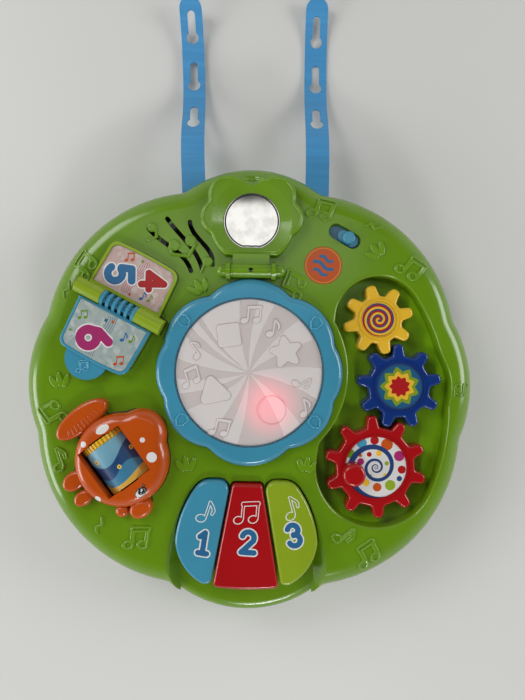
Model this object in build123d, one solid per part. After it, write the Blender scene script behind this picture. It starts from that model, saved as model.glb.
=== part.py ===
from build123d import *
import math
import os

# Activity table top. Millimetres, Z up, resting face at Z = 0, keys towards -Y.

# Shared fits and stock
wall = 2.5                    # moulded wall
gap = 0.3                     # between pieces that move or drop in
run_fit = 0.05                # radial play of a pin or shaft in its hole
overrun = 1.0                 # how far a cut passes the face that it opens
screw_radius = 1.5
screw_head_radius = 2.8
screw_head_height = 2.0
screw_bite = 6.0              # thread length past the clamped sheet
sheet = 0.4                   # printed label

# Housing
petal_radius = 201.0          # furthest reach of the petals
side_notch_depth = 5.5
rear_notch_depth = 11.5
front_notch_depth = 13.0
notch_blend = 16.0
top_height = 70.0             # top face
skirt_bottom = 44.0           # lower edge of the top housing
shoulder_radius = 18.0
base_setback = 27.0           # how far the base stands in from the rim
base_soft = 5.0
lip_height = 4.0              # bottom housing's lip inside the skirt
housing_notches = ((20, side_notch_depth), (71, rear_notch_depth), (109, rear_notch_depth),
                   (160, side_notch_depth), (192, side_notch_depth), (248, front_notch_depth),
                   (292, front_notch_depth), (348, side_notch_depth))
boss_radius = 5.0
boss_split = 30.0             # height where the two halves' bosses meet
boss_places = ((50, 0.76), (130, 0.76), (13, 0.765), (177, 0.76), (236, 0.755), (304, 0.755))
screw_well_depth = 20.0       # housing screw heads sit this far up inside the lower bosses

# Leg sockets
socket_radius = 13.5
socket_depth = 30.0
socket_ring = 135.0           # from the middle of the base

# Drum
drum_y = 17.5
ring_radius = 82.0
ring_side_depth = 3.7
ring_end_depth = 7.0
ring_blend = 9.0
ring_height = 8.5
ring_soft = 6.0
ring_notches = ((18, ring_side_depth), (62, ring_end_depth), (118, ring_end_depth), (162, ring_side_depth),
                (198, ring_side_depth), (242, ring_end_depth), (298, ring_end_depth), (342, ring_side_depth))
ring_collar_depth = 3.5       # ring's collar inside the housing hole
head_radius = 64.8
head_crown = 2.0              # rise of the head from edge to middle
head_edge_rise = 6.5          # head's edge above the top face
head_wall = 2.2
head_flange = 2.7
head_flange_thick = 2.0
ring_screw_share = 0.905      # of the ring's radius
light_box_depth = 21.5
light_flange_thick = 2.2
light_flange_radius = 78.5
head_post_radius = 4.0
head_post_share = 0.75        # of the head's radius
drum_dome_height = 8.0
dome_radius = 6.5
dome_top_radius = 4.5
dome_seat = 0.2               # rest gap over a dome
lamp_board_radius = 41.5
board_thick = 1.6
lamp_radius = 2.5
lamp_height = 6.0
lamp_share = 0.91             # of the lamp board's radius
lamp_flange = 0.5
lamp_flange_thick = 1.0
red_lamp_angle = -59

# Mirror flap
flap_y = 150.0
flap_side_reach = 45.0
flap_corner_reach = 47.5
flap_rear_reach = 39.5
flap_front_reach = 38.0
flap_rear_dip = 38.4
flap_corner_dip = 40.7
flap_front_dip = 37.5
flap_blend = 5.0
flap_thick = 8.0
flap_soft = 2.2
flap_front_cut = 30.5         # flower's middle to its straight front edge
dish_radius = 35.0
mirror_radius = 24.4
mirror_thick = 1.2
mirror_flat = 22.8            # mirror's middle to its straight front edge
flap_floor = 1.2
scoop_radius = 12.0
hinge_y = 106.0
barrel_radius = 6.0
barrel_half = 17.5
flap_tongue_half = 16.0
tongue_drop = 1.2             # tongue's faces in from the flap's faces
bracket_thick = 3.6
bracket_radius = 7.5
bracket_dome = 5.0
pin_radius = 1.5
pin_past = 2.5                # hinge pin past each bracket
barrel_hole_radius = 2.0

# Book
book_x = -113.5
book_y = 73.5
book_angle = -26.9
page_length = 50.4            # spine axis to the page's outer edge
leaf_length = 54.4            # spine axis to the leaf's outer edge
page_root_width = 69.5
page_tip_width = 65.5
page_bow = 1.5
page_corner = 8.0
book_base_thick = 5.0
page_frame = 2.4              # frame around a label
page_pocket = 1.5
book_screw_inset = 9.0        # book screws in from the pages' edges
spine_radius = 7.0
spine_length = 83.0
knuckle_length = 33.0
leaf_thick = 4.0
leaf_soft = 1.2
leaf_label_depth = 0.6
groove_count = 5
groove_width = 3.3
groove_pitch = 6.0
groove_depth = 2.6
tab_radius = 19.0
tab_offset = 4.0              # along the spine
tab_thick = 2.6
tab_reach = 1.0               # tab's middle in from the leaf's edge

# Fish and picture roller
fish_x = -109.5
fish_y = -60.5
fish_radius = 41.0
fish_height = 14.5
fish_soft = 10.0
fin_height = 8.0
fin_soft = 3.5
lip_soft = 4.5
fish_wall = 2.5
# middle along X and Y, then half sizes, all as shares of the body's radius, then the turn in degrees
hump_shares = (0.40, 0.56, 0.54, 0.54, 0)
tail_shares = (-0.88, 0.84, 0.65, 0.27, 39)
upper_fin_shares = (-1.00, -0.47, 0.28, 0.20, 35)
lower_fin_shares = (-0.81, -0.83, 0.22, 0.16, 40)
big_lip_shares = (0.42, -1.03, 0.25, 0.20, 30)
small_lip_shares = (0.02, -1.09, 0.15, 0.14, 0)
roller_x = -114.5
roller_y = -61.0
roller_angle = -53
roller_radius = 24.0
roller_length = 46.0
roller_axis_z = 61.0
rim_width = 5.0
rim_rib_count = 42
rim_rib_depth = 1.1
rim_rib_width = 1.5
window_length = 46.5          # along the roller
window_width = 43.5
axle_radius = 2.5
bearing_thick = 3.0
bearing_radius = 7.0
roller_wall = 2.0
roller_room = 1.2             # around the roller
cover_post_radius = 3.5

# Gears: tray and three wheels
tray_floor = 52.0
tray_room = 7.4               # between a wheel's teeth and the tray wall
tray_arc = 185.0              # radius of the tray's outer side
tray_drum_room = 6.0          # tray wall to the drum ring
tray_soft = 14.0
tray_edge_soft = 2.5
red_gear_x = 113.5
red_gear_y = -65.0
blue_gear_x = 133.5
blue_gear_y = 7.0
yellow_gear_x = 114.0
yellow_gear_y = 66.0
red_teeth = 10
blue_teeth = 9
yellow_teeth = 8
red_gear_radius = 45.4
blue_gear_radius = 37.7
yellow_gear_radius = 31.0
tooth_depth = 10.4
tooth_tip = 8.0
tooth_root = 11.6
tooth_tip_soft = 3.7
tooth_root_soft = 2.4
blue_phase = 92.0
gear_lift = 2.0               # over the tray floor
gear_thick = 14.0
gear_soft = 2.6
gear_label_share = 0.78       # of the root radius
bead_width = 1.6
bead_height = 0.8
hub_radius = 5.0
collar_radius = 8.0           # thrust face under each wheel
hub_past = 0.4                # hub under the tray floor
washer_radius = 8.0
gear_screw_length = 12.0
knob_radius = 10.0
knob_height = 12.0
knob_soft = 3.5
knob_peg_radius = 4.0
knob_peg_depth = 8.0
knob_ring = 21.2              # knob to the red wheel's axis
knob_angle = 194.5

# Keys
well_floor = 56.0
shelf_soft = 9.0
well_rear_y = -75.0
well_rear_half = 43.0
well_mid_y = -108.0
well_mid_half = 60.5
well_front_y = -150.0
well_front_half = 71.0
well_soft = 7.0
mouth_gap = 1.5               # between the keys and the surface round them
bank_break = 2.0              # height of the upper slope at the well's edge
bank_upper_draft = 58         # degrees from upright
bank_lower_draft = 30
ramp_rear_y = -86.0           # where that surface starts to fall towards the front
key_rear_y = -77.2
key_rear_half = 40.0
key_wide_y = -130.0
key_wide_half = 62.5
key_front_y = -168.0
key_front_half = 38.0
key_side_arc = 95.0
key_front_arc = 46.0
key_rear_soft = 16.0
key_front_soft = 5.0
key_wide_soft = 14.0
middle_rear_y = -80.0
middle_rear_half = 13.2
middle_front_y = -170.5
middle_front_half = 29.3
middle_front_bow = 2.0
key_gap = 1.8
key_corner = 4.5
key_inner_soft = 9.0          # side keys' rear corners beside the middle key
middle_rear_soft = 3.4
key_bottom = 60.6
key_top = 76.0
key_soft = 3.0
key_wall = 2.2
key_hinge_y = -66.5
key_hinge_z = 63.0
key_rod_radius = 2.0
key_rod_half = 40.0
key_barrel_radius = 4.2
key_tongue_width = 12.0
key_tongue_thick = 5.0
side_tongue_x = 22.0
tongue_room = 1.5
ear_thick = 3.0
ear_inner_x = 11.0
ear_outer_x = 33.0
plunger_y = -124.0
side_plunger_x = 39.0
plunger_radius = 4.0
plunger_room = 1.2
key_dome_height = 6.3
key_board_z = 36.4            # underside of the main board
main_board_width = 112.0
main_board_depth = 52.0
main_board_y = -122.0
board_post_radius = 3.5
board_post_x = 50.0
board_post_rear_y = -103.0
board_post_front_y = -141.0

# Switch, badge and speaker
switch_x = 82.0
switch_y = 139.0
switch_angle = -30
switch_length = 30.6
switch_width = 13.7
switch_depth = 4.0
slider_length = 19.5
slider_width = 10.6
slider_thick = 1.8
slider_knob_radius = 5.4
slider_knob_height = 7.0
slider_knob_soft = 1.5
slider_stem_width = 3.0
slider_stem_length = 5.0
switch_travel = 7.4
switch_can_length = 16.0
switch_can_width = 8.0
switch_can_height = 6.0
badge_x = 63.5
badge_y = 112.8
badge_radius = 16.5
speaker_x = -56.0
speaker_y = 128.0
speaker_radius = 25.0
speaker_rim = 1.6
speaker_depth = 14.0
magnet_radius = 11.0
magnet_height = 6.0
cone_radius = 20.0
speaker_fence = 5.0
slot_width = 4.0
# slot routes as shares of the speaker's radius from its middle
slot_routes = (((-0.75, 0.95), (-0.12, 0.22), (0.15, -0.10), (0.50, -0.78)),
               ((0.05, 0.85), (0.30, 0.34), (0.82, -0.30), (0.88, -0.65)),
               ((-1.39, 0.58), (-0.68, 0.00), (-0.34, -0.25), (0.12, -0.88)))

# Battery box
battery_x = 0.0
battery_y = 70.0
cell_radius = 7.1
cell_length = 48.5
cell_nub_radius = 2.7
cell_nub = 1.5
cell_pitch = 15.0
cell_count = 3
contact_room = 4.0            # at each end of the cells
contact_thick = 0.6
contact_spring_radius = 4.0
box_side_room = 0.8
box_wall = 5.0
box_screw_end = 10.0
box_top = 2.0
door_ledge = 3.0
door_thick = 2.2
door_tab_width = 8.0
door_tab_reach = 2.0
door_tab_spread = 14.0

# Straps
right_strap_x = 60.0
left_strap_x = -54.6
left_strap_turn = 3.0         # degrees in plan, soft strap lying a little askew
strap_turn_room = 1.4         # extra slot room for that
strap_inset = 36.5            # anchor bar in from the petals' reach
strap_anchor_z = 39.4
strap_width = 22.0
strap_thick = 1.8
strap_lead = 44.5
strap_fall = 35               # degrees, steepest part
strap_upper_bend = 85.0
strap_lower_bend = 105.0
right_strap_low = 0.0         # height of the underside at the lowest part
left_strap_low = 3.0
strap_flat = 12.0
right_curl_bend = 120.0
right_curl = 25
left_curl_bend = 80.0
left_curl = 38
strap_corner = 9.0
keyhole_radius = 6.0
keyhole_slot = 7.5
keyhole_length = 30.0
keyhole_first = 99.5          # anchor bar to the first keyhole's middle
keyhole_pitch = 47.0
keyhole_count = 3
strap_bead_radius = 2.6
strap_pin_radius = 2.0
strap_ear_thick = 3.0
strap_ear_radius = 4.2
strap_ear_reach = 26.0         # from the anchor out to the housing wall
strap_slot_drop = 14.0         # slot in the wall, under and over the anchor
strap_slot_rise = 3.5

# Wiring
wire_radius = 0.9
wire_bend = 4.0

# Derived levels
top_under = top_height - wall
tray_under = tray_floor - wall
shelf_under = well_floor - wall
flap_low = top_height + gap
flap_high = flap_low + flap_thick
leaf_low = top_height + book_base_thick + gap
leaf_mid = leaf_low + leaf_thick / 2
gear_low = tray_floor + gear_lift
gear_high = gear_low + gear_thick
head_flange_top = top_height - ring_collar_depth - gap
light_floor = top_under - light_box_depth
key_board_top = key_board_z + board_thick
plunger_low = key_board_top + key_dome_height + dome_seat
strap_anchor_y = petal_radius - strap_inset


def polar(radius, angle):
    turn = math.radians(angle)
    return (radius * math.cos(turn), radius * math.sin(turn))


def prism(face, low, high):
    return extrude(Pos(0, 0, low) * face, amount=high - low)


def disc(radius, low, high):
    return prism(Circle(radius), low, high)


def rod_x(radius, start, end):
    return extrude(Plane.YZ.offset(start) * Circle(radius), amount=end - start)


def block(x_low, x_high, y_low, y_high, z_low, z_high):
    middle = Pos((x_low + x_high) / 2, (y_low + y_high) / 2, (z_low + z_high) / 2)
    return middle * Box(x_high - x_low, y_high - y_low, z_high - z_low)


def soft_top(solid, radius):
    return fillet(solid.faces().sort_by(Axis.Z)[-1].edges(), radius)


def soft_rim(solid, face, radius):
    # rounds the top face's edge along an outline
    line = (Pos(0, 0, top_height) * face).wires()[0]
    level = [edge for edge in solid.edges() if abs(edge.center().Z - top_height) < run_fit]
    return fillet([edge for edge in level if line.distance_to(edge @ 0.5) < run_fit], radius)


def screw_up(seat, tip):
    # head under the seat, shank above it
    return disc(screw_head_radius, seat - screw_head_height, seat) + disc(screw_radius, seat, tip)


def petal_face(crests, notches, blend):
    # one arc per petal from notch to notch, each notch rounded
    corners = [polar(reach, angle) for angle, reach in notches]
    edges = []
    for index, (angle, reach) in enumerate(notches):
        after = (index + 1) % len(notches)
        next_angle = notches[after][0] + (360 if after == 0 else 0)
        crest = polar(crests[index], (angle + next_angle) / 2)
        edges.append(ThreePointArc(corners[index], crest, corners[after]))
    face = make_face(edges)
    return fillet(face.vertices(), blend)


def even_petals(radius, notches, blend, inset):
    reach = radius - inset
    places = [(angle, reach - depth) for angle, depth in notches]
    return petal_face([reach] * len(places), places, blend + inset)


def dome(height):
    # hollow rubber dome on its board
    outer = loft([Circle(dome_radius), Pos(0, 0, height) * Circle(dome_top_radius)])
    hollow = loft([Circle(dome_radius - overrun), Pos(0, 0, height - overrun) * Circle(dome_top_radius - overrun)])
    return outer - hollow


# Housing

def housing_face(inset):
    return even_petals(petal_radius, housing_notches, notch_blend, inset)


def housing_mass(inset):
    low = skirt_bottom if inset == 0 else skirt_bottom - overrun
    return soft_top(prism(housing_face(inset), low, top_height - inset), shoulder_radius - inset)


def shelf_mass(inset):
    low = skirt_bottom if inset == 0 else skirt_bottom - overrun
    return soft_top(prism(housing_face(inset), low, well_floor - inset), shelf_soft - inset)


def well_outline():
    far_y = -petal_radius - top_height
    right = [(well_rear_half, well_rear_y), (well_mid_half, well_mid_y), (well_front_half, well_front_y)]
    rear = Line((-well_rear_half, well_rear_y), right[0])
    side = ThreePointArc(*right)
    down = Line(right[2], (well_front_half, far_y))
    front = Line((well_front_half, far_y), (-well_front_half, far_y))
    up = Line((-well_front_half, far_y), (-well_front_half, well_front_y))
    other = ThreePointArc(*[(-x, y) for x, y in reversed(right)])
    return make_face([rear, side, down, front, up, other])


def well_face(grow):
    face = well_outline()
    face = fillet(face.vertices().sort_by(Axis.Y)[-2:], well_soft)
    return offset(face, grow) if grow else face


def well_bank():
    # two slopes that soften the step from the top face down to the shelf
    break_z = top_height - bank_break
    inset = bank_break * math.tan(math.radians(bank_upper_draft))
    upper = extrude(Pos(0, 0, top_height) * well_outline(), amount=-bank_break, taper=bank_upper_draft)
    lower = extrude(Pos(0, 0, break_z) * offset(well_outline(), -inset), amount=shelf_under - break_z,
                    taper=bank_lower_draft)
    return (prism(well_outline(), shelf_under, top_height) - upper - lower) & housing_mass(0)


def tray_side():
    # sector of one large circle that touches the room round the first and the last wheel
    red, _, yellow = wheel_points()
    red_reach = tray_arc - red_gear_radius - tray_room
    yellow_reach = tray_arc - yellow_gear_radius - tray_room
    span = math.dist(red, yellow)
    along = (red_reach ** 2 - yellow_reach ** 2 + span ** 2) / (2 * span)
    x, y = polar(red_reach, direction(red, yellow) + math.degrees(math.acos(along / red_reach)))
    middle = (red[0] + x, red[1] + y)
    ends = [polar(2 * tray_arc, direction(middle, wheel)) for wheel in (red, yellow)]
    sector = Circle(tray_arc) & make_face(Polyline((0, 0), *ends, close=True))
    return Pos(*middle) * sector


def tray_face(grow):
    wheels = ((red_gear_x, red_gear_y, red_gear_radius), (blue_gear_x, blue_gear_y, blue_gear_radius),
              (yellow_gear_x, yellow_gear_y, yellow_gear_radius))
    rims = [Pos(x, y) * Circle(radius + tray_room) for x, y, radius in wheels]
    hull = make_hull([edge for rim in rims for edge in rim.edges()])
    face = hull + tray_side() - Pos(0, drum_y) * Circle(ring_radius + tray_drum_room)
    face = fillet(face.vertices().sort_by(Axis.X)[:2], tray_soft)
    return offset(face, grow) if grow else face


def place_switch(shape):
    return Pos(switch_x, switch_y) * Rot(0, 0, switch_angle) * shape


def place_roller(shape):
    # local X runs along the roller's axis
    return Pos(roller_x, roller_y, roller_axis_z) * Rot(0, 0, roller_angle) * shape


def place_book(shape):
    return Pos(book_x, book_y) * Rot(0, 0, book_angle) * shape


def boss_points():
    return [polar(share * petal_radius, angle) for angle, share in boss_places]


def board_post_points():
    return [(side * board_post_x, y) for side in (-1, 1) for y in (board_post_rear_y, board_post_front_y)]


def ring_screw_points():
    ring = [polar(ring_screw_share * ring_radius, angle) for angle in (40, 140, 220, 320)]
    return [(x, y + drum_y) for x, y in ring]


def cover_screw_points():
    # beside the roller, past its outer end, and in the tail
    side = roller_radius + roller_room + cover_post_radius + overrun
    end = roller_length / 2 + bearing_thick + 2 * roller_room + cover_post_radius + overrun
    turn = Rot(0, 0, roller_angle)
    spots = [(turn * Pos(*point)).position for point in ((0, side), (0, -side), (end, 0))]
    tail = (fish_x + tail_shares[0] * fish_radius, fish_y + tail_shares[1] * fish_radius)
    return [(roller_x + spot.X, roller_y + spot.Y) for spot in spots] + [tail]


def book_screw_points():
    outer = page_root_width / 2 - book_screw_inset
    far = page_length - book_screw_inset
    return [(-outer, far), (outer, far), (-outer, -far), (outer, -far)]


def wheel_points():
    return [(red_gear_x, red_gear_y), (blue_gear_x, blue_gear_y), (yellow_gear_x, yellow_gear_y)]


def speaker_slot(route):
    points = [(speaker_x + x * speaker_radius, speaker_y + y * speaker_radius) for x, y in route]
    path = Spline(*points)
    ends = [Pos(*point) * Circle(slot_width / 2) for point in (points[0], points[-1])]
    return trace(path, slot_width) + ends


def flap_bracket():
    # right-hand one: a plate, a rounded cap past it, and a foot under both
    axis_z = flap_low + barrel_radius
    inner = barrel_half + gap
    outer = inner + bracket_thick
    end = outer + bracket_thick
    solid = block(inner, outer, hinge_y - bracket_radius, hinge_y + bracket_radius, top_under, axis_z)
    solid += Pos(0, hinge_y, axis_z) * rod_x(bracket_radius, inner, outer)
    solid += Pos(0, hinge_y, axis_z) * rod_x(bracket_dome, outer, end)
    solid += Pos(end, hinge_y, axis_z) * Sphere(bracket_dome)
    solid += block(outer, end, hinge_y - bracket_dome, hinge_y + bracket_dome, top_under, axis_z)
    solid += Pos(end, hinge_y) * disc(bracket_dome, top_under, axis_z)
    return solid - Pos(0, hinge_y, axis_z) * rod_x(pin_radius + run_fit, 0, outer + pin_past)


def key_ears():
    # hang from the top face behind the keys and carry the hinge rod
    solids = Part()
    low = key_hinge_z - key_barrel_radius
    for side in (-1, 1):
        for x in (side * ear_inner_x, side * ear_outer_x):
            solids += block(x - ear_thick / 2, x + ear_thick / 2, key_hinge_y - key_barrel_radius,
                            key_hinge_y + key_barrel_radius, low, top_under)
    rod = Pos(0, key_hinge_y, key_hinge_z) * rod_x(key_rod_radius + run_fit, -key_rod_half, key_rod_half)
    return solids - rod


def tongue_slots():
    low = key_hinge_z - key_tongue_thick / 2 - tongue_room
    high = key_hinge_z + key_tongue_thick / 2 + tongue_room
    half = key_tongue_width / 2 + tongue_room
    slots = [block(x - half, x + half, middle_rear_y, well_rear_y + wall + overrun, low, high)
             for x in (-side_tongue_x, 0, side_tongue_x)]
    return Part() + slots


def key_surround():
    # closes the well round the keys, level behind them and falling to the shelf in front
    mouth = Sketch() + [offset(face, mouth_gap) for face in key_faces()]
    mouth = prism(mouth, 0, 2 * top_height)
    side = make_face(Polyline((well_rear_y + wall, top_height), (ramp_rear_y, top_height),
                              (well_front_y, well_floor), (well_front_y, shelf_under),
                              (well_rear_y + wall, shelf_under), close=True))
    ramp = extrude(Plane.YZ * side, amount=petal_radius, both=True)
    fill = prism(well_face(0), shelf_under, top_height) & ramp
    return fill + well_bank() - mouth


def top_housing():
    top = 2 * top_height
    well = prism(well_face(0), 0, top)
    thick_well = prism(well_face(wall), 0, top)
    outer = (housing_mass(0) - well) + (shelf_mass(0) & well) + key_surround()
    outer = soft_rim(outer - prism(tray_face(0), tray_floor, top), tray_face(0), tray_edge_soft)
    cavity =(housing_mass(wall) - thick_well) + (shelf_mass(wall) & thick_well)
    cavity -= prism(tray_face(wall), tray_under, top)
    cavity -= place_switch(prism(SlotOverall(switch_length + 2 * wall, switch_width + 2 * wall),
                                 top_height - switch_depth - wall, top))
    body = outer - cavity
    body -= place_switch(prism(SlotOverall(switch_length, switch_width), top_height - switch_depth, top))
    slot_length = switch_travel + slider_stem_length + 2 * gap
    body -= place_switch(block(-slot_length / 2, slot_length / 2, -slider_stem_width / 2 - gap,
                               slider_stem_width / 2 + gap, boss_split, top))
    body -= Pos(0, drum_y) * disc(head_radius + head_flange + 3 * gap, boss_split, top)
    for x, y in ring_screw_points():
        body -= Pos(x, y) * disc(screw_radius + gap, top_under - overrun, top)
    for x, y in wheel_points():
        body -= Pos(x, y) * disc(hub_radius + run_fit, tray_under - overrun, tray_floor + overrun)
    for x in (-side_plunger_x, 0, side_plunger_x):
        body -= Pos(x, plunger_y) * disc(plunger_radius + plunger_room, shelf_under - overrun, well_floor + overrun)
    hole = block(-roller_length / 2 - bearing_thick - 2 * roller_room,
                 roller_length / 2 + bearing_thick + 2 * roller_room,
                 -roller_radius - roller_room, roller_radius + roller_room, 0, top_height)
    body -= place_roller(hole)
    for x, y in cover_screw_points():
        body -= Pos(x, y) * disc(screw_radius + gap, top_under - overrun, top)
    for x, y in book_screw_points():
        body -= place_book(Pos(x, y) * disc(screw_radius + gap, top_under - overrun, top))
    for route in slot_routes:
        body -= prism(speaker_slot(route), top_under - overrun, top)
    body -= Pos(badge_x, badge_y) * disc(badge_radius + gap, top_height - sheet, top)
    body -= tongue_slots()
    for x, y in boss_points():
        post = disc(boss_radius, boss_split, top_under + overrun)
        post -= disc(screw_radius + run_fit, boss_split, boss_split + 2 * screw_bite)
        body += Pos(x, y) * post - prism(tray_face(0), tray_floor, top)
    for x, y in board_post_points():
        post = disc(board_post_radius, key_board_top, shelf_under + overrun)
        body += Pos(x, y) * (post - disc(screw_radius + run_fit, key_board_top, key_board_top + screw_bite))
    fence = disc(speaker_radius + gap + wall, top_under - speaker_fence, top_under + overrun)
    fence -= disc(speaker_radius + gap, top_under - speaker_fence, top_under)
    fence -= disc(speaker_radius - wall, top_under - speaker_fence, top_height)
    body += Pos(speaker_x, speaker_y) * fence
    for route in slot_routes:
        body -= prism(speaker_slot(route), top_under - overrun, top)
    bracket = flap_bracket()
    return body + bracket + mirror(bracket, Plane.YZ) + key_ears()


def tub_mass(inset, floor):
    # tapers from the lip inside the skirt down to the base
    rim = housing_face(wall + gap + inset)
    lean = math.degrees(math.atan2(base_setback, skirt_bottom))
    taper = extrude(Pos(0, 0, skirt_bottom) * rim, amount=floor - skirt_bottom, taper=lean)
    taper = fillet(taper.faces().sort_by(Axis.Z)[0].edges(), base_soft - inset)
    high = skirt_bottom + lip_height + (overrun if inset else 0)
    return taper + prism(rim, skirt_bottom, high)


def socket_points():
    return [polar(socket_ring, angle) for angle in (45, 135, 225, 315)]


def box_half_length():
    return cell_length / 2 + contact_room


def box_half_width():
    return cell_count * cell_pitch / 2 + box_side_room


def box_high():
    return wall + 2 * (cell_radius + box_side_room)


def door_span():
    # low and high X of the door, from the middle of the battery box
    return (-box_half_length() - door_ledge, box_half_length() + box_screw_end)


def door_screw_x():
    return box_half_length() + box_screw_end / 2


def battery_box():
    half, side = box_half_length(), box_half_width()
    shell = block(-half - box_wall, half + box_screw_end + box_wall, -side - box_wall, side + box_wall,
                  0, box_high() + box_top)
    return shell


def battery_room():
    half, side = box_half_length(), box_half_width()
    low, high = door_span()
    room = block(-half, half, -side, side, 0, box_high())
    room += block(low - gap, high + gap, -side - door_ledge - gap, side + door_ledge + gap, -overrun, wall)
    room += Pos(door_screw_x(), 0) * disc(screw_radius + run_fit, 0, wall + screw_bite)
    for y in (-door_tab_spread, door_tab_spread):
        room += block(low - door_tab_reach - gap, low, y - door_tab_width / 2 - gap,
                      y + door_tab_width / 2 + gap, door_thick - overrun - gap, wall + gap)
    return room


def strap_ears():
    # inside the wall, one pair for each strap's anchor bar
    solids = Part()
    start = strap_width / 2 + gap
    for middle in (left_strap_x, right_strap_x):
        for low in (-start - strap_ear_thick, start):
            x = middle + low
            ear = Pos(0, strap_anchor_y, strap_anchor_z) * rod_x(strap_ear_radius, x, x + strap_ear_thick)
            ear += block(x, x + strap_ear_thick, strap_anchor_y, strap_anchor_y + strap_ear_reach,
                         strap_anchor_z - strap_ear_radius, strap_anchor_z + strap_ear_radius)
            ear -= Pos(0, strap_anchor_y, strap_anchor_z) * rod_x(strap_pin_radius + run_fit, x - gap,
                                                                   x + strap_ear_thick + gap)
            solids += ear
    return solids


def strap_slots():
    half = strap_width / 2 + gap
    rear = strap_anchor_y + 2 * strap_ear_reach
    low, high = strap_anchor_z - strap_slot_drop, strap_anchor_z + strap_slot_rise
    slots = block(right_strap_x - half, right_strap_x + half, strap_anchor_y, rear, low, high)
    return slots + block(left_strap_x - half - strap_turn_room, left_strap_x + half, strap_anchor_y, rear, low, high)


def bottom_housing():
    outer = tub_mass(0, 0)
    body = outer - tub_mass(wall, wall) + (strap_ears() & outer) - strap_slots()
    for x, y in socket_points():
        body += Pos(x, y) * disc(socket_radius + wall, 0, socket_depth + wall)
        body -= Pos(x, y) * disc(socket_radius, 0, socket_depth)
    for x, y in boss_points():
        body += Pos(x, y) * disc(boss_radius, 0, boss_split)
        body -= Pos(x, y) * disc(screw_head_radius + gap, 0, screw_well_depth)
        body -= Pos(x, y) * disc(screw_radius + gap, 0, boss_split)
    body += Pos(battery_x, battery_y) * battery_box()
    return body - Pos(battery_x, battery_y) * battery_room()


def housing_screws():
    tip = boss_split + screw_bite
    return [Pos(x, y) * screw_up(screw_well_depth, tip) for x, y in boss_points()]


# Battery box

def battery_door():
    low, high = door_span()
    side = box_half_width() + door_ledge
    door = block(low, high, -side, side, 0, door_thick)
    for y in (-door_tab_spread, door_tab_spread):
        door += block(low - door_tab_reach, low, y - door_tab_width / 2, y + door_tab_width / 2,
                      door_thick - overrun, door_thick)
    door -= Pos(door_screw_x(), 0) * disc(screw_radius + gap, 0, door_thick)
    door -= Pos(door_screw_x(), 0) * disc(screw_head_radius + gap, 0, door_thick / 2)
    return Pos(battery_x, battery_y) * door


def battery_door_screw():
    head = disc(screw_head_radius, 0, door_thick / 2)
    return Pos(battery_x + door_screw_x(), battery_y) * (head + disc(screw_radius, door_thick / 2, wall + screw_bite / 2))


def cell_rows():
    first = -(cell_count - 1) / 2
    return [(battery_y + (first + index) * cell_pitch, 1 - 2 * (index % 2)) for index in range(cell_count)]


def cell_z():
    return wall + cell_radius + box_side_room


def battery_cells():
    cells = []
    half = cell_length / 2
    for y, way in cell_rows():
        body = rod_x(cell_radius, -half, half - cell_nub) + rod_x(cell_nub_radius, half - cell_nub, half)
        turned = body if way > 0 else Rot(0, 0, 180) * body
        cells.append(Pos(battery_x, y, cell_z()) * turned)
    return cells


def battery_contacts():
    pieces = []
    half = box_half_length()
    tall = cell_radius
    for y, way in cell_rows():
        for end in (-1, 1):
            low, high = sorted((end * half, end * (half - contact_thick)))
            plate = block(battery_x + low, battery_x + high, y - tall, y + tall, cell_z() - tall, cell_z() + tall)
            reach = half - cell_length / 2 - contact_thick - gap
            low, high = sorted((end * (half - contact_thick), end * (half - contact_thick - reach)))
            inner = cell_nub_radius if end == way else contact_spring_radius
            plate += Pos(battery_x, y, cell_z()) * (rod_x(inner, low, high) - rod_x(inner - overrun, low, high))
            pieces.append(plate)
    return pieces


# Drum

def drum_ring():
    face = even_petals(ring_radius, ring_notches, ring_blend, 0)
    body = soft_top(prism(face, top_height, top_height + ring_height), ring_soft)
    collar_radius_out = head_radius + head_flange + 2 * gap
    body += disc(collar_radius_out, top_height - ring_collar_depth, top_height)
    body -= disc(head_radius + gap, 0, 2 * top_height)
    for x, y in ring_screw_points():
        body -= Pos(x, y - drum_y) * disc(screw_radius + run_fit, top_height, top_height + screw_bite)
    return Pos(0, drum_y) * body


def ring_screws():
    seat = top_under - light_flange_thick
    tip = top_height + screw_bite - overrun
    return [Pos(x, y) * screw_up(seat, tip) for x, y in ring_screw_points()]


def head_posts():
    return [polar(head_post_share * head_radius, angle) for angle in (90, 210, 330)]


def drum_head():
    edge = top_height + head_edge_rise
    arc_radius = (head_radius ** 2 + head_crown ** 2) / (2 * head_crown)
    crown = Pos(0, 0, edge + head_crown - arc_radius) * Sphere(arc_radius)
    low = head_flange_top - head_flange_thick
    body = disc(head_radius, low, edge + 2 * head_crown) & crown
    inner = Pos(0, 0, -head_wall) * crown
    body -= disc(head_radius - head_wall, low, edge + 2 * head_crown) & inner
    body += disc(head_radius + head_flange, low, head_flange_top) - disc(head_radius - head_wall, low, head_flange_top)
    post_low = light_floor + wall + drum_dome_height + dome_seat
    for x, y in head_posts():
        body += Pos(x, y) * disc(head_post_radius, post_low, edge)
    return Pos(0, drum_y) * body


def light_box():
    inner = head_radius + head_flange + 2 * gap
    seat = top_under - light_flange_thick
    body = disc(light_flange_radius, seat, top_under) + disc(inner + wall, light_floor, top_under)
    body -= disc(inner, light_floor + wall, top_under)
    body = Pos(0, drum_y) * body
    for x, y in ring_screw_points():
        body -= Pos(x, y) * disc(screw_radius + gap, seat, top_under)
    return body - Pos(0, drum_y) * disc(4 * wire_radius, light_floor, top_under)


def lamp_points():
    ring = [polar(lamp_share * lamp_board_radius, red_lamp_angle + turn) for turn in (0, 120, 240)]
    return [(x, y + drum_y) for x, y in ring]


def lamp_board():
    low = light_floor + wall
    return Pos(0, drum_y) * disc(lamp_board_radius, low, low + board_thick)


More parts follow.
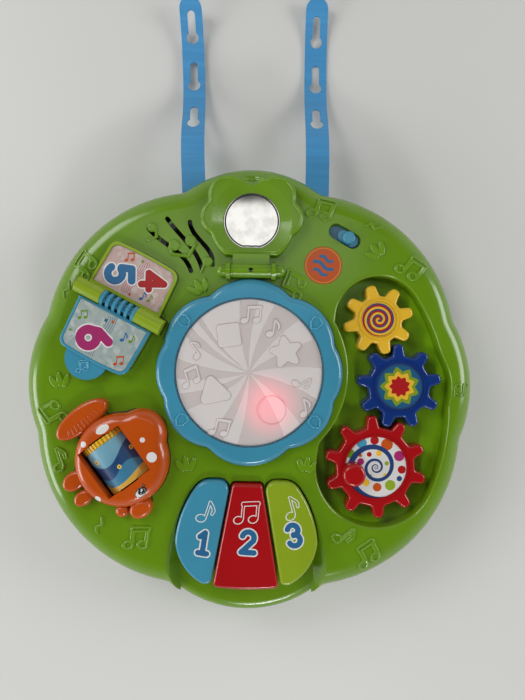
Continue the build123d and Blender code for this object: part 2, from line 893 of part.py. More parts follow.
def lamp(index):
    low = light_floor + wall + board_thick
    high = low + lamp_height - lamp_radius
    x, y = lamp_points()[index]
    bulb = disc(lamp_radius, low, high) + Pos(0, 0, high) * Sphere(lamp_radius)
    return Pos(x, y) * (bulb + disc(lamp_radius + lamp_flange, low, low + lamp_flange_thick))


def drum_domes():
    return [Pos(x, y + drum_y, light_floor + wall) * dome(drum_dome_height) for x, y in head_posts()]


# Mirror flap

def flap_face():
    crests = (flap_side_reach, flap_corner_reach, flap_rear_reach, flap_corner_reach, flap_side_reach,
              flap_front_reach, flap_front_reach)
    notches = ((-18, flap_front_dip), (23, flap_corner_dip), (72, flap_rear_dip), (108, flap_rear_dip),
               (157, flap_corner_dip), (198, flap_front_dip), (270, flap_front_dip))
    face = petal_face(crests, notches, flap_blend)
    face &= Pos(0, petal_radius - flap_front_cut) * Rectangle(2 * petal_radius, 2 * petal_radius)
    return Pos(0, flap_y) * face


def flap_parts():
    axis_z = flap_low + barrel_radius
    body = soft_top(prism(flap_face(), flap_low, flap_high), flap_soft)
    tongue = block(-flap_tongue_half, flap_tongue_half, hinge_y, flap_y - flap_front_cut + overrun,
                   flap_low + tongue_drop, flap_high - tongue_drop)
    barrel = Pos(0, hinge_y, axis_z) * rod_x(barrel_radius, -barrel_half, barrel_half)
    mirror_low = flap_low + flap_floor
    dish_low = mirror_low + mirror_thick
    dish = loft([Pos(0, flap_y, dish_low) * Circle(mirror_radius + 3 * gap),
                 Pos(0, flap_y, flap_high) * Circle(dish_radius)])
    sheet_face = Pos(0, flap_y) * (Circle(mirror_radius) & Pos(0, mirror_radius - mirror_flat)
                                   * Rectangle(2 * mirror_radius, 2 * mirror_radius))
    mirror_plate = prism(sheet_face, mirror_low, dish_low)
    body -= dish
    body -= prism(offset(sheet_face, gap), mirror_low, dish_low + overrun)
    scoop = Pos(0, flap_y + flap_rear_reach, flap_high + scoop_radius / 2) * Sphere(scoop_radius)
    body = body - scoop + tongue + barrel
    body -= Pos(0, hinge_y, axis_z) * rod_x(pin_radius + run_fit, -barrel_half - gap, barrel_half + gap)
    body -= Pos(0, hinge_y) * disc(barrel_hole_radius, axis_z, axis_z + 2 * barrel_radius)
    reach = barrel_half + gap + bracket_thick + pin_past
    pin = Pos(0, hinge_y, axis_z) * rod_x(pin_radius, -reach + gap, reach - gap)
    return body, mirror_plate, pin


# Book

def page_face(length, start, inset):
    # from a line parallel to the spine out to the bowed outer edge, local Y away from the spine
    root = page_root_width / 2 - inset
    tip = page_tip_width / 2 - inset
    far = length - inset
    edge = ThreePointArc((-tip, far - page_bow), (0, far), (tip, far - page_bow))
    lines = Polyline((-tip, far - page_bow), (-root, start), (root, start), (tip, far - page_bow))
    face = make_face([edge, lines])
    return fillet(face.vertices().sort_by(Axis.Y)[-2:], page_corner - inset / 2)


def spine_ends():
    solids = Part()
    for side in (-1, 1):
        near, far = sorted((side * (knuckle_length / 2 + gap), side * spine_length / 2))
        solids += Pos(0, 0, leaf_mid) * rod_x(spine_radius, near, far)
        solids += block(near, far, -spine_radius, spine_radius, top_height, leaf_mid)
    return solids


def book_base():
    high = top_height + book_base_thick
    plate = prism(page_face(page_length, 0, 0), top_height, high)
    body = plate + Rot(0, 0, 180) * plate
    pocket = prism(page_face(page_length, spine_radius + page_frame, page_frame), high - page_pocket, high + overrun)
    body -= pocket + Rot(0, 0, 180) * pocket
    room = knuckle_length / 2 + gap
    body -= block(-room, room, -spine_radius, spine_radius, top_height - overrun, high + overrun)
    body += spine_ends()
    reach = spine_length / 2 - wall
    body -= Pos(0, 0, leaf_mid) * rod_x(pin_radius + run_fit, -reach, reach)
    for x, y in book_screw_points():
        body -= Pos(x, y) * disc(screw_radius + run_fit, top_height, high - page_pocket - overrun)
    return place_book(body)


def book_screws():
    tip = top_height + book_base_thick - page_pocket - overrun - gap
    return [place_book(Pos(x, y) * screw_up(top_under, tip)) for x, y in book_screw_points()]


def book_pin():
    reach = spine_length / 2 - wall - gap
    return place_book(Pos(0, 0, leaf_mid) * rod_x(pin_radius, -reach, reach))


def page_label():
    low = top_height + book_base_thick - page_pocket
    inset = page_frame + gap
    return place_book(prism(page_face(page_length, spine_radius + inset, inset), low, low + sheet))


def leaf_plate(start, inset, low, high):
    return Rot(0, 0, 180) * prism(page_face(leaf_length, start, inset), low, high)


def book_leaf():
    high = leaf_low + leaf_thick
    body = soft_top(leaf_plate(spine_radius + 2 * gap, 0, leaf_low, high), leaf_soft)
    body -= leaf_plate(spine_radius + page_frame, page_frame, high - leaf_label_depth, high + overrun)
    tab = prism(Pos(-tab_offset, -leaf_length + tab_reach) * Circle(tab_radius), leaf_low, leaf_low + tab_thick)
    tab -= block(-page_root_width, page_root_width, -leaf_length + page_frame, leaf_length, 0, 2 * top_height)
    body += tab
    half = knuckle_length / 2
    body += block(-half, half, -spine_radius - page_frame / 2, 0, leaf_low, high - leaf_label_depth)
    knuckle = Pos(0, 0, leaf_mid) * rod_x(spine_radius - gap, -half, half)
    body += knuckle
    first = -(groove_count - 1) / 2
    for index in range(groove_count):
        middle = (first + index) * groove_pitch
        low_x, high_x = middle - groove_width / 2, middle + groove_width / 2
        ring = rod_x(2 * spine_radius, low_x, high_x) - rod_x(spine_radius - gap - groove_depth, low_x, high_x)
        ring &= block(low_x, high_x, -spine_radius, 2 * spine_radius, -spine_radius, spine_radius)
        body -= Pos(0, 0, leaf_mid) * ring
    body -= Pos(0, 0, leaf_mid) * rod_x(pin_radius + run_fit, -half - gap, half + gap)
    return place_book(body)


def leaf_label():
    low = leaf_low + leaf_thick - leaf_label_depth
    return place_book(leaf_plate(spine_radius + page_frame + gap, page_frame + gap, low, low + sheet))


# Fish and roller

def fish_blob(shares, height, soft):
    x, y, long, short, turn = shares
    face = Rot(0, 0, turn) * Ellipse(long * fish_radius, short * fish_radius)
    solid = soft_top(prism(face, top_height, top_height + height), soft)
    return Pos(x * fish_radius, y * fish_radius) * solid


def fish_body(inset):
    # both circles start where the other covers them, so only the two true corners are rounded
    x, y, reach, _, _ = hump_shares
    turn = math.degrees(math.atan2(y, x))
    main_face = Rot(0, 0, turn) * Circle(fish_radius - inset)
    hump = Pos(x * fish_radius, y * fish_radius) * Rot(0, 0, turn + 180) * Circle(reach * fish_radius - inset)
    face = main_face + hump
    face = fillet(face.vertices(), fish_soft + inset)
    return soft_top(prism(face, top_height, top_height + fish_height - inset), fish_soft - inset)


def bearings():
    # plates at both ends of the roller, joined to the inside of the cover
    near = roller_length / 2 + roller_room
    solids = Part()
    for side in (-1, 1):
        low, high = sorted((side * near, side * (near + bearing_thick)))
        plate = rod_x(bearing_radius, low, high)
        plate += block(low, high, -bearing_radius, bearing_radius, 0, top_height + fish_height - roller_axis_z)
        solids += plate
    return solids - rod_x(axle_radius + run_fit, -2 * roller_length, 2 * roller_length)


def fish_cover():
    place = Pos(fish_x, fish_y)
    outer = fish_body(0)
    solid = outer - fish_body(fish_wall)
    for x, y in cover_screw_points():
        post = Pos(x - fish_x, y - fish_y) * disc(cover_post_radius, top_height, top_height + fish_height)
        solid += post & outer
    trims = fish_blob(tail_shares, fin_height, fin_soft) + fish_blob(upper_fin_shares, fin_height, fin_soft)
    trims += fish_blob(lower_fin_shares, fin_height, fin_soft)
    trims += fish_blob(big_lip_shares, fin_height + lip_soft / 2, lip_soft)
    trims += fish_blob(small_lip_shares, fin_height, lip_soft)
    body = place * (solid + (trims - fish_body(fish_wall)))
    half_long, half_wide = window_length / 2, window_width / 2
    window = block(-half_long, half_long, -half_wide, half_wide, 0, top_height)
    frame = block(-half_long - fish_wall, half_long + fish_wall, -half_wide - fish_wall, half_wide + fish_wall, 0,
                  top_height)
    body += place_roller(frame) & (place * outer)
    body -= place_roller(window)
    room = rod_x(roller_radius + roller_room, -roller_length / 2 - roller_room, roller_length / 2 + roller_room)
    body -= place_roller(room)
    held = place_roller(bearings()) & (place * outer + place_roller(block(
        -roller_length, roller_length, -roller_radius, roller_radius, -roller_radius, top_height - roller_axis_z)))
    body += held
    for x, y in cover_screw_points():
        body -= Pos(x, y) * disc(screw_radius + run_fit, top_height, top_height + screw_bite)
    return body


def cover_screws():
    return [Pos(x, y) * screw_up(top_under, top_height + screw_bite - overrun) for x, y in cover_screw_points()]


def picture_roller():
    half = roller_length / 2
    rim_start = -half + rim_width
    core = roller_radius - sheet - 2 * gap
    body = rod_x(core, -half, half) + rod_x(roller_radius, -half, rim_start)
    inner = rod_x(core - roller_wall, -half + roller_wall, half - roller_wall)
    inner -= rod_x(2 * axle_radius, -half, half)
    body -= inner
    body -= rod_x(axle_radius + run_fit, -half, half)
    for index in range(rim_rib_count):
        notch = block(-half, rim_start, -rim_rib_width / 2, rim_rib_width / 2, roller_radius - rim_rib_depth,
                      roller_radius + overrun)
        body -= Rot(360 / rim_rib_count * index, 0, 0) * notch
    return place_roller(body)


def roller_label():
    half = roller_length / 2
    start = -half + rim_width + gap
    sleeve = rod_x(roller_radius - gap, start, half) - rod_x(roller_radius - sheet - gap, start, half)
    return place_roller(sleeve)


def roller_axle():
    half = roller_length / 2 + roller_room + bearing_thick
    return place_roller(rod_x(axle_radius, -half, half))


# Gears

def direction(start, end):
    return math.degrees(math.atan2(end[1] - start[1], end[0] - start[0]))


def meshed_phase(own_place, own_teeth, other_place, other_teeth, other_phase):
    # turn that puts a tooth of this wheel in step with a gap of the other
    toward = direction(other_place, own_place)
    pitch = 360 / other_teeth
    off = (toward - other_phase - pitch / 2) % pitch
    return toward + 180 + off * other_teeth / own_teeth


def wheel_face(teeth, radius, phase):
    root = radius - tooth_depth
    points = []
    for index in range(teeth):
        turn = Rot(0, 0, phase + 360 / teeth * index)
        for reach, offset_y in ((root, -tooth_root / 2), (radius, -tooth_tip / 2), (radius, tooth_tip / 2),
                                (root, tooth_root / 2)):
            spot = (turn * Pos(reach, offset_y)).position
            points.append((spot.X, spot.Y))
    face = make_face(Polyline(*points, close=True))
    middle = (root + radius) / 2
    tips = [v for v in face.vertices() if math.hypot(v.X, v.Y) > middle]
    face = fillet(tips, tooth_tip_soft)
    roots = [v for v in face.vertices() if math.hypot(v.X, v.Y) < middle]
    return fillet(roots, tooth_root_soft)


def wheel(place, teeth, radius, phase):
    label_radius = gear_label_share * (radius - tooth_depth)
    body = soft_top(prism(wheel_face(teeth, radius, phase), gear_low, gear_high), gear_soft)
    bead = disc(label_radius + bead_width, gear_high - overrun, gear_high + bead_height)
    body += bead - disc(label_radius, gear_high - overrun, gear_high + bead_height)
    body -= disc(label_radius, gear_high - sheet, gear_high + bead_height)
    body += disc(collar_radius, tray_floor + gap, gear_low) + disc(hub_radius, tray_under - hub_past, gear_low)
    body -= disc(screw_radius + run_fit, tray_under - hub_past, tray_under - hub_past + gear_screw_length)
    label = disc(label_radius - gap, gear_high - sheet, gear_high)
    seat = tray_under - hub_past
    screw = screw_up(seat, seat + gear_screw_length - overrun)
    screw += disc(washer_radius, seat - overrun, seat)
    return [Pos(*place) * shape for shape in (body, label, screw)]


def knob_place():
    x, y = polar(knob_ring, knob_angle)
    return (red_gear_x + x, red_gear_y + y)


def gear_train():
    red_at, blue_at, yellow_at = wheel_points()
    red_phase = meshed_phase(red_at, red_teeth, blue_at, blue_teeth, blue_phase)
    yellow_phase = meshed_phase(yellow_at, yellow_teeth, blue_at, blue_teeth, blue_phase)
    red = wheel(red_at, red_teeth, red_gear_radius, red_phase)
    blue = wheel(blue_at, blue_teeth, blue_gear_radius, blue_phase)
    yellow = wheel(yellow_at, yellow_teeth, yellow_gear_radius, yellow_phase)
    x, y = knob_place()
    red[0] -= Pos(x, y) * disc(knob_peg_radius + run_fit, gear_high - knob_peg_depth, gear_high + bead_height)
    red[1] -= Pos(x, y) * disc(knob_radius + gap, gear_low, gear_high + bead_height)
    cap = soft_top(disc(knob_radius, gear_high + bead_height, gear_high + knob_height), knob_soft)
    knob = Pos(x, y) * (cap + disc(knob_peg_radius, gear_high - knob_peg_depth + gap, gear_high + knob_height / 2))
    return red, blue, yellow, knob


# Keys

def keyboard_face():
    right = Line((key_rear_half, key_rear_y), (-key_rear_half, key_rear_y))
    side = RadiusArc((key_rear_half, key_rear_y), (key_wide_half, key_wide_y), key_side_arc)
    low = RadiusArc((key_wide_half, key_wide_y), (key_front_half, key_front_y), key_front_arc)
    front = Line((key_front_half, key_front_y), (-key_front_half, key_front_y))
    low_left = RadiusArc((-key_front_half, key_front_y), (-key_wide_half, key_wide_y), key_front_arc)
    side_left = RadiusArc((-key_wide_half, key_wide_y), (-key_rear_half, key_rear_y), key_side_arc)
    face = make_face([right, side, low, front, low_left, side_left])
    face = fillet(face.vertices().sort_by(Axis.Y)[-2:], key_rear_soft)
    face = fillet(face.vertices().sort_by(Axis.Y)[:2], key_front_soft)
    ends = face.vertices().sort_by(Axis.X)
    return fillet([ends[0], ends[-1]], key_wide_soft)


def middle_key_face():
    lines = Polyline((-middle_front_half, middle_front_y), (-middle_rear_half, middle_rear_y),
                     (middle_rear_half, middle_rear_y), (middle_front_half, middle_front_y))
    bow = ThreePointArc((middle_front_half, middle_front_y), (0, middle_front_y - middle_front_bow),
                        (-middle_front_half, middle_front_y))
    return make_face([lines, bow])


def key_faces():
    # the middle key's slanted sides, carried past both ends, part the two side keys
    slope = (middle_front_half - middle_rear_half) / (middle_rear_y - middle_front_y)
    rear_y, front_y = key_rear_y + key_rear_soft, middle_front_y - key_rear_soft
    rear = middle_rear_half + key_gap + (middle_rear_y - rear_y) * slope
    front = middle_rear_half + key_gap + (middle_rear_y - front_y) * slope
    lane = make_face(Polyline((-front, front_y), (-rear, rear_y), (rear, rear_y), (front, front_y), close=True))
    right = Sketch() + (keyboard_face() - lane).faces().sort_by(Axis.X)[-1]
    rear_corner = min(right.vertices(), key=lambda corner: abs(corner.X))
    right = fillet([rear_corner], key_inner_soft)
    front_corner = min(right.vertices().sort_by(Axis.Y)[:2], key=lambda corner: abs(corner.X))
    right = fillet([front_corner], key_corner)
    middle = middle_key_face()
    middle = fillet(middle.vertices().sort_by(Axis.Y)[-2:], middle_rear_soft)
    middle = fillet(middle.vertices().sort_by(Axis.Y)[:2], key_corner)
    return mirror(right, Plane.YZ), middle, right


def key_solid(face, hinge_x, plunger_x):
    inner = offset(face, -key_wall)
    body = soft_top(prism(face, key_bottom, key_top), key_soft)
    body -= prism(inner, key_bottom - overrun, key_top - key_wall)
    half = key_tongue_width / 2
    rear = max(vertex.Y for vertex in face.vertices())
    tongue = block(hinge_x - half, hinge_x + half, rear - key_wall, key_hinge_y,
                   key_hinge_z - key_tongue_thick / 2, key_hinge_z + key_tongue_thick / 2)
    barrel = Pos(0, key_hinge_y, key_hinge_z) * rod_x(key_barrel_radius, hinge_x - half, hinge_x + half)
    body += tongue + barrel
    body -= Pos(0, key_hinge_y, key_hinge_z) * rod_x(key_rod_radius + run_fit, hinge_x - 2 * half, hinge_x + 2 * half)
    return body + Pos(plunger_x, plunger_y) * disc(plunger_radius, plunger_low, key_top - key_wall / 2)


def key_domes():
    return [Pos(x, plunger_y, key_board_top) * dome(key_dome_height) for x in (-side_plunger_x, 0, side_plunger_x)]


def key_hinge_rod():
    return Pos(0, key_hinge_y, key_hinge_z) * rod_x(key_rod_radius, -key_rod_half, key_rod_half)


def main_board():
    half_x, half_y = main_board_width / 2, main_board_depth / 2
    board = block(-half_x, half_x, main_board_y - half_y, main_board_y + half_y, key_board_z, key_board_top)
    for x, y in board_post_points():
        board -= Pos(x, y) * disc(screw_radius + gap, key_board_z - overrun, key_board_top + overrun)
    return board


def board_screws():
    tip = key_board_top + screw_bite - overrun
    return [Pos(x, y) * screw_up(key_board_z, tip) for x, y in board_post_points()]


# Switch, badge and speaker

def slide_knob():
    low = top_height - switch_depth + gap
    high = low + slider_thick
    rest = switch_travel / 2
    plate = prism(SlotOverall(slider_length, slider_width), low, high)
    knob = soft_top(disc(slider_knob_radius, high - overrun, high + slider_knob_height), slider_knob_soft)
    stem = block(-slider_stem_length / 2, slider_stem_length / 2, -slider_stem_width / 2, slider_stem_width / 2,
                 top_height - switch_depth - wall - switch_can_height / 2, high)
    return place_switch(Pos(rest, 0) * (plate + knob + stem))


def slide_switch():
    high = top_height - switch_depth - wall
    half, side = switch_can_length / 2 + switch_travel / 2, switch_can_width / 2
    can = block(-half, half, -side, side, high - switch_can_height, high)
    slot = (switch_travel + slider_stem_length) / 2 + gap
    can -= block(-slot, slot, -slider_stem_width / 2 - gap, slider_stem_width / 2 + gap,
                 high - switch_can_height / 2 - gap, high + overrun)
    return place_switch(can)


def badge_label():
    return Pos(badge_x, badge_y) * disc(badge_radius, top_height - sheet, top_height)


def speaker_frame():
    rim = disc(speaker_radius, top_under - speaker_rim, top_under) - disc(cone_radius, 0, top_height)
    low = top_under - speaker_depth
    basket = loft([Pos(0, 0, low) * Circle(magnet_radius + wall), Pos(0, 0, top_under - speaker_rim)
                   * Circle(cone_radius + speaker_rim)])
    hollow = loft([Pos(0, 0, low) * Circle(magnet_radius), Pos(0, 0, top_under - speaker_rim) * Circle(cone_radius)])
    basket = basket - hollow + disc(magnet_radius + wall, low - magnet_height, low)
    return Pos(speaker_x, speaker_y) * (rim + basket)


def speaker_cone():
    low = top_under - speaker_depth + overrun
    high = top_under - speaker_rim
    start, end = magnet_radius, cone_radius - gap
    outer = loft([Pos(0, 0, low) * Circle(start), Pos(0, 0, high) * Circle(end)])
    hollow = loft([Pos(0, 0, low + overrun) * Circle(start), Pos(0, 0, high + overrun) * Circle(end)])
    return Pos(speaker_x, speaker_y) * (outer - hollow)


# Straps

def strap_path(low, curl_bend, curl):
    # side view: local X away from the anchor, local Y up
    fall = math.radians(strap_fall)
    drop = strap_anchor_z - strap_thick / 2 - low
    steep = (drop - (strap_upper_bend + strap_lower_bend) * (1 - math.cos(fall))) / math.sin(fall)
    lead = Line((0, 0), (strap_lead, 0))
    over = JernArc(lead @ 1, lead % 1, strap_upper_bend, -strap_fall)
    slope = Line(over @ 1, (over @ 1) + (over % 1) * steep)
    under = JernArc(slope @ 1, slope % 1, strap_lower_bend, strap_fall)
    flat = Line(under @ 1, (under @ 1) + (under % 1) * strap_flat)
    tip = JernArc(flat @ 1, flat % 1, curl_bend, curl)
    return [lead, over, slope, under, flat, tip]


def path_lean(path, distance):
    # cosine of the slope where the path passes a distance from the anchor
    for edge in path:
        start, end = (edge @ 0).X, (edge @ 1).X
        if start <= distance <= end:
            share = (distance - start) / (end - start)
            return (edge % share).X
    return (path[-1] % 1).X


def keyhole_face(lean):
    long = keyhole_length * lean
    bulb = Pos(0, keyhole_radius * lean - long / 2) * Circle(keyhole_radius)
    reach = long - keyhole_radius * lean - keyhole_slot / 2
    slot_low = keyhole_radius * lean - long / 2
    slot = Pos(0, slot_low + reach / 2) * Rectangle(keyhole_slot, reach)
    return bulb + slot + Pos(0, slot_low + reach) * Circle(keyhole_slot / 2)


def strap(place, turn, low, curl_bend, curl):
    path = strap_path(low, curl_bend, curl)
    ribbon = extrude(trace(path, strap_thick), amount=strap_width / 2, both=True)
    body = Pos(0, strap_anchor_y, strap_anchor_z) * (Plane.YZ * ribbon)
    tip_y = strap_anchor_y + (path[-1] @ 1).X
    plan = RectangleRounded(strap_width, 2 * tip_y, strap_corner)
    body &= prism(plan, -top_height, 2 * top_height)
    for index in range(keyhole_count):
        y = strap_anchor_y + keyhole_first + keyhole_pitch * index
        hole = Pos(0, y) * keyhole_face(path_lean(path, y - strap_anchor_y))
        body -= prism(hole, -top_height, 2 * top_height)
    body = Pos(0, strap_anchor_y) * Rot(0, 0, turn) * Pos(0, -strap_anchor_y) * body
    axis = Pos(0, strap_anchor_y, strap_anchor_z)
    half = strap_width / 2
    body += axis * rod_x(strap_bead_radius, -half, half)
    reach = half + gap + strap_ear_thick
    body += axis * rod_x(strap_pin_radius, -reach, reach)
    return Pos(place, 0) * body


# Wiring

def wire(points):
    path = FilletPolyline(*points, radius=wire_bend)
    return sweep(Plane(path @ 0, z_dir=path % 0) * Circle(wire_radius), path)


def wiring():
    board_edge = main_board_y + main_board_depth / 2 + gap
    level = key_board_z + board_thick / 2
    lamp_low = light_floor + wall - gap
    box_edge = battery_y - box_half_width() - box_wall - gap
    box_mid = cell_z()
    magnet_low = top_under - speaker_depth - magnet_height - gap
    can_low = top_height - switch_depth - wall - switch_can_height - gap
    low = boss_split
    battery_wire = wire([(-10, board_edge, level), (-10, -70, low), (-10, 20, box_mid), (-10, box_edge, box_mid)])
    lamp_wire = wire([(0, board_edge, level), (0, -70, low), (0, drum_y, low), (0, drum_y, lamp_low)])
    speaker_wire = wire([(-30, board_edge, level), (-30, -70, low), (-60, 20, low), (-60, 110, low),
                         (speaker_x, speaker_y, low), (speaker_x, speaker_y, magnet_low)])
    switch_wire = wire([(30, board_edge, level), (30, -70, low), (60, 20, low), (60, 110, low),
                        (switch_x, switch_y, low), (switch_x, switch_y, can_low)])
    return [battery_wire, lamp_wire, speaker_wire, switch_wire]


def save(name, shape):
    solids = list(shape) if isinstance(shape, (list, tuple)) else [shape]
    pieces = [solid for item in solids for solid in item.solids()]
    export_step(pieces[0] if len(pieces) == 1 else Compound(pieces), f"parts/{name}.step")


def main():
    os.makedirs("parts", exist_ok=True)
    flap, mirror_plate, flap_pin = flap_parts()
    red, blue, yellow, knob = gear_train()
    _, middle_face, right_face = key_faces()
    right_key = key_solid(right_face, side_tongue_x, side_plunger_x)
    domes = key_domes()
    pieces = {
        "top_housing": top_housing(),
        "bottom_housing": bottom_housing(),
        "housing_screws": housing_screws(),
        "battery_door": battery_door(),
        "battery_door_screw": battery_door_screw(),
        "battery_cells": battery_cells(),
        "battery_contacts": battery_contacts(),
        "drum_ring": drum_ring(),
        "ring_screws": ring_screws(),
        "drum_head": drum_head(),
        "light_box": light_box(),
        "lamp_board": lamp_board(),
        "red_lamp": lamp(0),
        "green_lamp": lamp(1),
        "yellow_lamp": lamp(2),
        "drum_domes": drum_domes(),
        "mirror_flap": flap,
        "mirror": mirror_plate,
        "flap_pin": flap_pin,
        "book_base": book_base(),
        "book_screws": book_screws(),
        "book_pin": book_pin(),
        "page_label": page_label(),
        "book_leaf": book_leaf(),
        "leaf_label": leaf_label(),
        "fish_cover": fish_cover(),
        "cover_screws": cover_screws(),
        "picture_roller": picture_roller(),
        "roller_label": roller_label(),
        "roller_axle": roller_axle(),
        "red_gear": red[0],
        "red_gear_label": red[1],
        "red_gear_screw": red[2],
        "crank_knob": knob,
        "blue_gear": blue[0],
        "blue_gear_label": blue[1],
        "blue_gear_screw": blue[2],
        "yellow_gear": yellow[0],
        "yellow_gear_label": yellow[1],
        "yellow_gear_screw": yellow[2],
        "left_key": mirror(right_key, Plane.YZ),
        "middle_key": key_solid(middle_face, 0, 0),
        "right_key": right_key,
        "left_key_dome": domes[0],
        "middle_key_dome": domes[1],
        "right_key_dome": domes[2],
        "key_hinge_rod": key_hinge_rod(),
        "main_board": main_board(),
        "board_screws": board_screws(),
        "slide_knob": slide_knob(),
        "slide_switch": slide_switch(),
        "badge_label": badge_label(),
        "speaker_frame": speaker_frame(),
        "speaker_cone": speaker_cone(),
        "left_strap": strap(left_strap_x, left_strap_turn, left_strap_low, left_curl_bend, left_curl),
        "right_strap": strap(right_strap_x, 0, right_strap_low, right_curl_bend, right_curl),
        "wiring": wiring(),
    }
    for name, shape in pieces.items():
        save(name, shape)


main()
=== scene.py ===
import bpy
import math
import numpy as np
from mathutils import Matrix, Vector
from mathutils.bvhtree import BVHTree


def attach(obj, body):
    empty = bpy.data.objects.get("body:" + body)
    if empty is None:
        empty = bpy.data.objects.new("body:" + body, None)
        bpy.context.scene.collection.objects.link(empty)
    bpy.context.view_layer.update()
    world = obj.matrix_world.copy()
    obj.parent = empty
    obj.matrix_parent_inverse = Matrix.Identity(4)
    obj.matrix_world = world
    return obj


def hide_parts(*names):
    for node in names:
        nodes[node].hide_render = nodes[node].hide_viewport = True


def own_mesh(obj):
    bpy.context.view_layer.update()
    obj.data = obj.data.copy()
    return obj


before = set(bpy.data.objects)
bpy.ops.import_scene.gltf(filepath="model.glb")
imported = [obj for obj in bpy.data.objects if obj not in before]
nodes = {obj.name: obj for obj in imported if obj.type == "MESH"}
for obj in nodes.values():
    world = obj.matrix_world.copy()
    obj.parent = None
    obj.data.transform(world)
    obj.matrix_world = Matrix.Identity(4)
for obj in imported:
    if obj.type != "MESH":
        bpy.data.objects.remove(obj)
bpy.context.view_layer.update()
mm = 0.001


# shader maths: a Wire is one socket, and sums on it add Math nodes
def operator(operation, swapped=False):
    def run(wire, other):
        pair = (other, wire) if swapped else (wire, other)
        return wire.paint.maths(operation, *pair)
    return run


class Wire:
    def __init__(self, paint, socket):
        self.paint = paint
        self.socket = socket

    def also(self, output):
        return Wire(self.paint, self.socket.node.outputs[output])

    __add__, __radd__ = operator("ADD"), operator("ADD", True)
    __sub__, __rsub__ = operator("SUBTRACT"), operator("SUBTRACT", True)
    __mul__, __rmul__ = operator("MULTIPLY"), operator("MULTIPLY", True)
    __truediv__, __rtruediv__ = operator("DIVIDE"), operator("DIVIDE", True)
    __pow__, __mod__ = operator("POWER"), operator("FLOORED_MODULO")


class Paint:
    def __init__(self, name, fixed):
        self.material = bpy.data.materials.new(name)
        self.material.use_nodes = True
        self.tree = self.material.node_tree
        self.shader = self.tree.nodes["Principled BSDF"]
        for socket, value in fixed.items():
            self.feed(self.shader.inputs[socket], value)

    def feed(self, socket, value):
        if isinstance(value, Wire):
            self.tree.links.new(value.socket, socket)
        elif socket.type == "RGBA" and len(value) == 3:
            socket.default_value = (*value, 1)
        else:
            socket.default_value = value

    def add(self, kind, settings={}, sockets={}, out=0):
        node = self.tree.nodes.new(kind)
        for key, value in settings.items():
            setattr(node, key, value)
        for key, value in sockets.items():
            self.feed(node.inputs[key], value)
        return Wire(self, node.outputs[out])

    def maths(self, operation, *values):
        return self.add("ShaderNodeMath", {"operation": operation}, dict(enumerate(values)))

    def place(self):
        return self.add("ShaderNodeTexCoord", out="Object")

    # millimetres from a point of the piece, turned about the vertical
    def spot(self, x=0, y=0, z=0, turn=0):
        east = self.add("ShaderNodeSeparateXYZ", {}, {0: self.place()})
        u, v, w = east / mm - x, east.also(1) / mm - y, east.also(2) / mm - z
        c, s = math.cos(math.radians(turn)), math.sin(math.radians(turn))
        return u * c + v * s, v * c - u * s, w

    def stretched(self, scale, turn=0):
        return self.add("ShaderNodeMapping", {}, {0: self.place(), "Rotation": (0, 0, math.radians(turn)),
                                                  "Scale": scale})

    def noise(self, scale, detail=2.0, vector=None):
        return self.add("ShaderNodeTexNoise", {}, {"Vector": vector or self.place(), "Scale": scale,
                                                   "Detail": detail})

    # one inside and nought outside, over a soft edge in millimetres
    def inside(self, distance, soft=0.12):
        return self.add("ShaderNodeMapRange", {"interpolation_type": "SMOOTHSTEP"},
                        {0: distance, 1: -soft, 2: soft, 3: 1.0, 4: 0.0})

    # rises from nought at low to one at high
    def over(self, low, high, value):
        return self.add("ShaderNodeMapRange", {"interpolation_type": "SMOOTHSTEP"},
                        {0: value, 1: low, 2: high})

    def layer(self, mask, under, top):
        return self.add("ShaderNodeMix", {"data_type": "RGBA"}, {0: mask, 6: under, 7: top}, out=2)

    def bump(self, height, depth, strength=1.0):
        sockets = {"Height": height, "Distance": depth * mm, "Strength": strength}
        self.feed(self.shader.inputs["Normal"], self.add("ShaderNodeBump", {}, sockets))

    def finish(self, colour=None, rough=None):
        if colour is not None:
            self.feed(self.shader.inputs["Base Color"], colour)
        if rough is not None:
            self.feed(self.shader.inputs["Roughness"], rough)
        return self.material


def tint(colour, share):
    return tuple(min(1.0, c * share) for c in colour)


# a darker and a lighter shade of one colour
def shades(colour, swing):
    return tint(colour, 1 - swing), tint(colour, 1 + swing)


colours = {
    "leafGreen": (0.118, 0.240, 0.004),
    "sky": (0.044, 0.240, 0.362),
    "strapSky": (0.052, 0.265, 0.530),
    "lime": (0.225, 0.325, 0.012),
    "orange": (0.450, 0.066, 0.003),
    "royal": (0.004, 0.028, 0.170),
    "red": (0.345, 0.003, 0.005),
    "yellow": (0.720, 0.430, 0.026),
    "paperWhite": (0.700, 0.690, 0.670),
    "ink": (0.014, 0.118, 0.270),
    "navy": (0.012, 0.045, 0.160),
    "teal": (0.008, 0.090, 0.190),
    "magenta": (0.330, 0.015, 0.120),
    "black": (0.012, 0.012, 0.013),
}


# noise scales of moulded plastic, and its two sets of scuffs: stretch, turn and threshold
skin = {"cloud": 16.0, "peel": 650.0, "dust": 2600.0, "peelStrength": 0.6,
        "cloudRough": 0.10, "scuffRough": 0.06,
        "scuffs": (((1400.0, 70.0, 500.0), 35, (0.62, 0.80)), ((60.0, 1500.0, 500.0), 12, (0.64, 0.82)))}
# floor of the gear tray, whose colour is painted lighter as painted light: where each soft edge of it starts
# and ends, in millimetres
trayFloor = {"left": (72.0, 80.0), "rear": (108.0, 98.0), "front": (-140.0, -130.0),
             "outer": (187.0, 183.0), "level": (56.0, 53.0)}
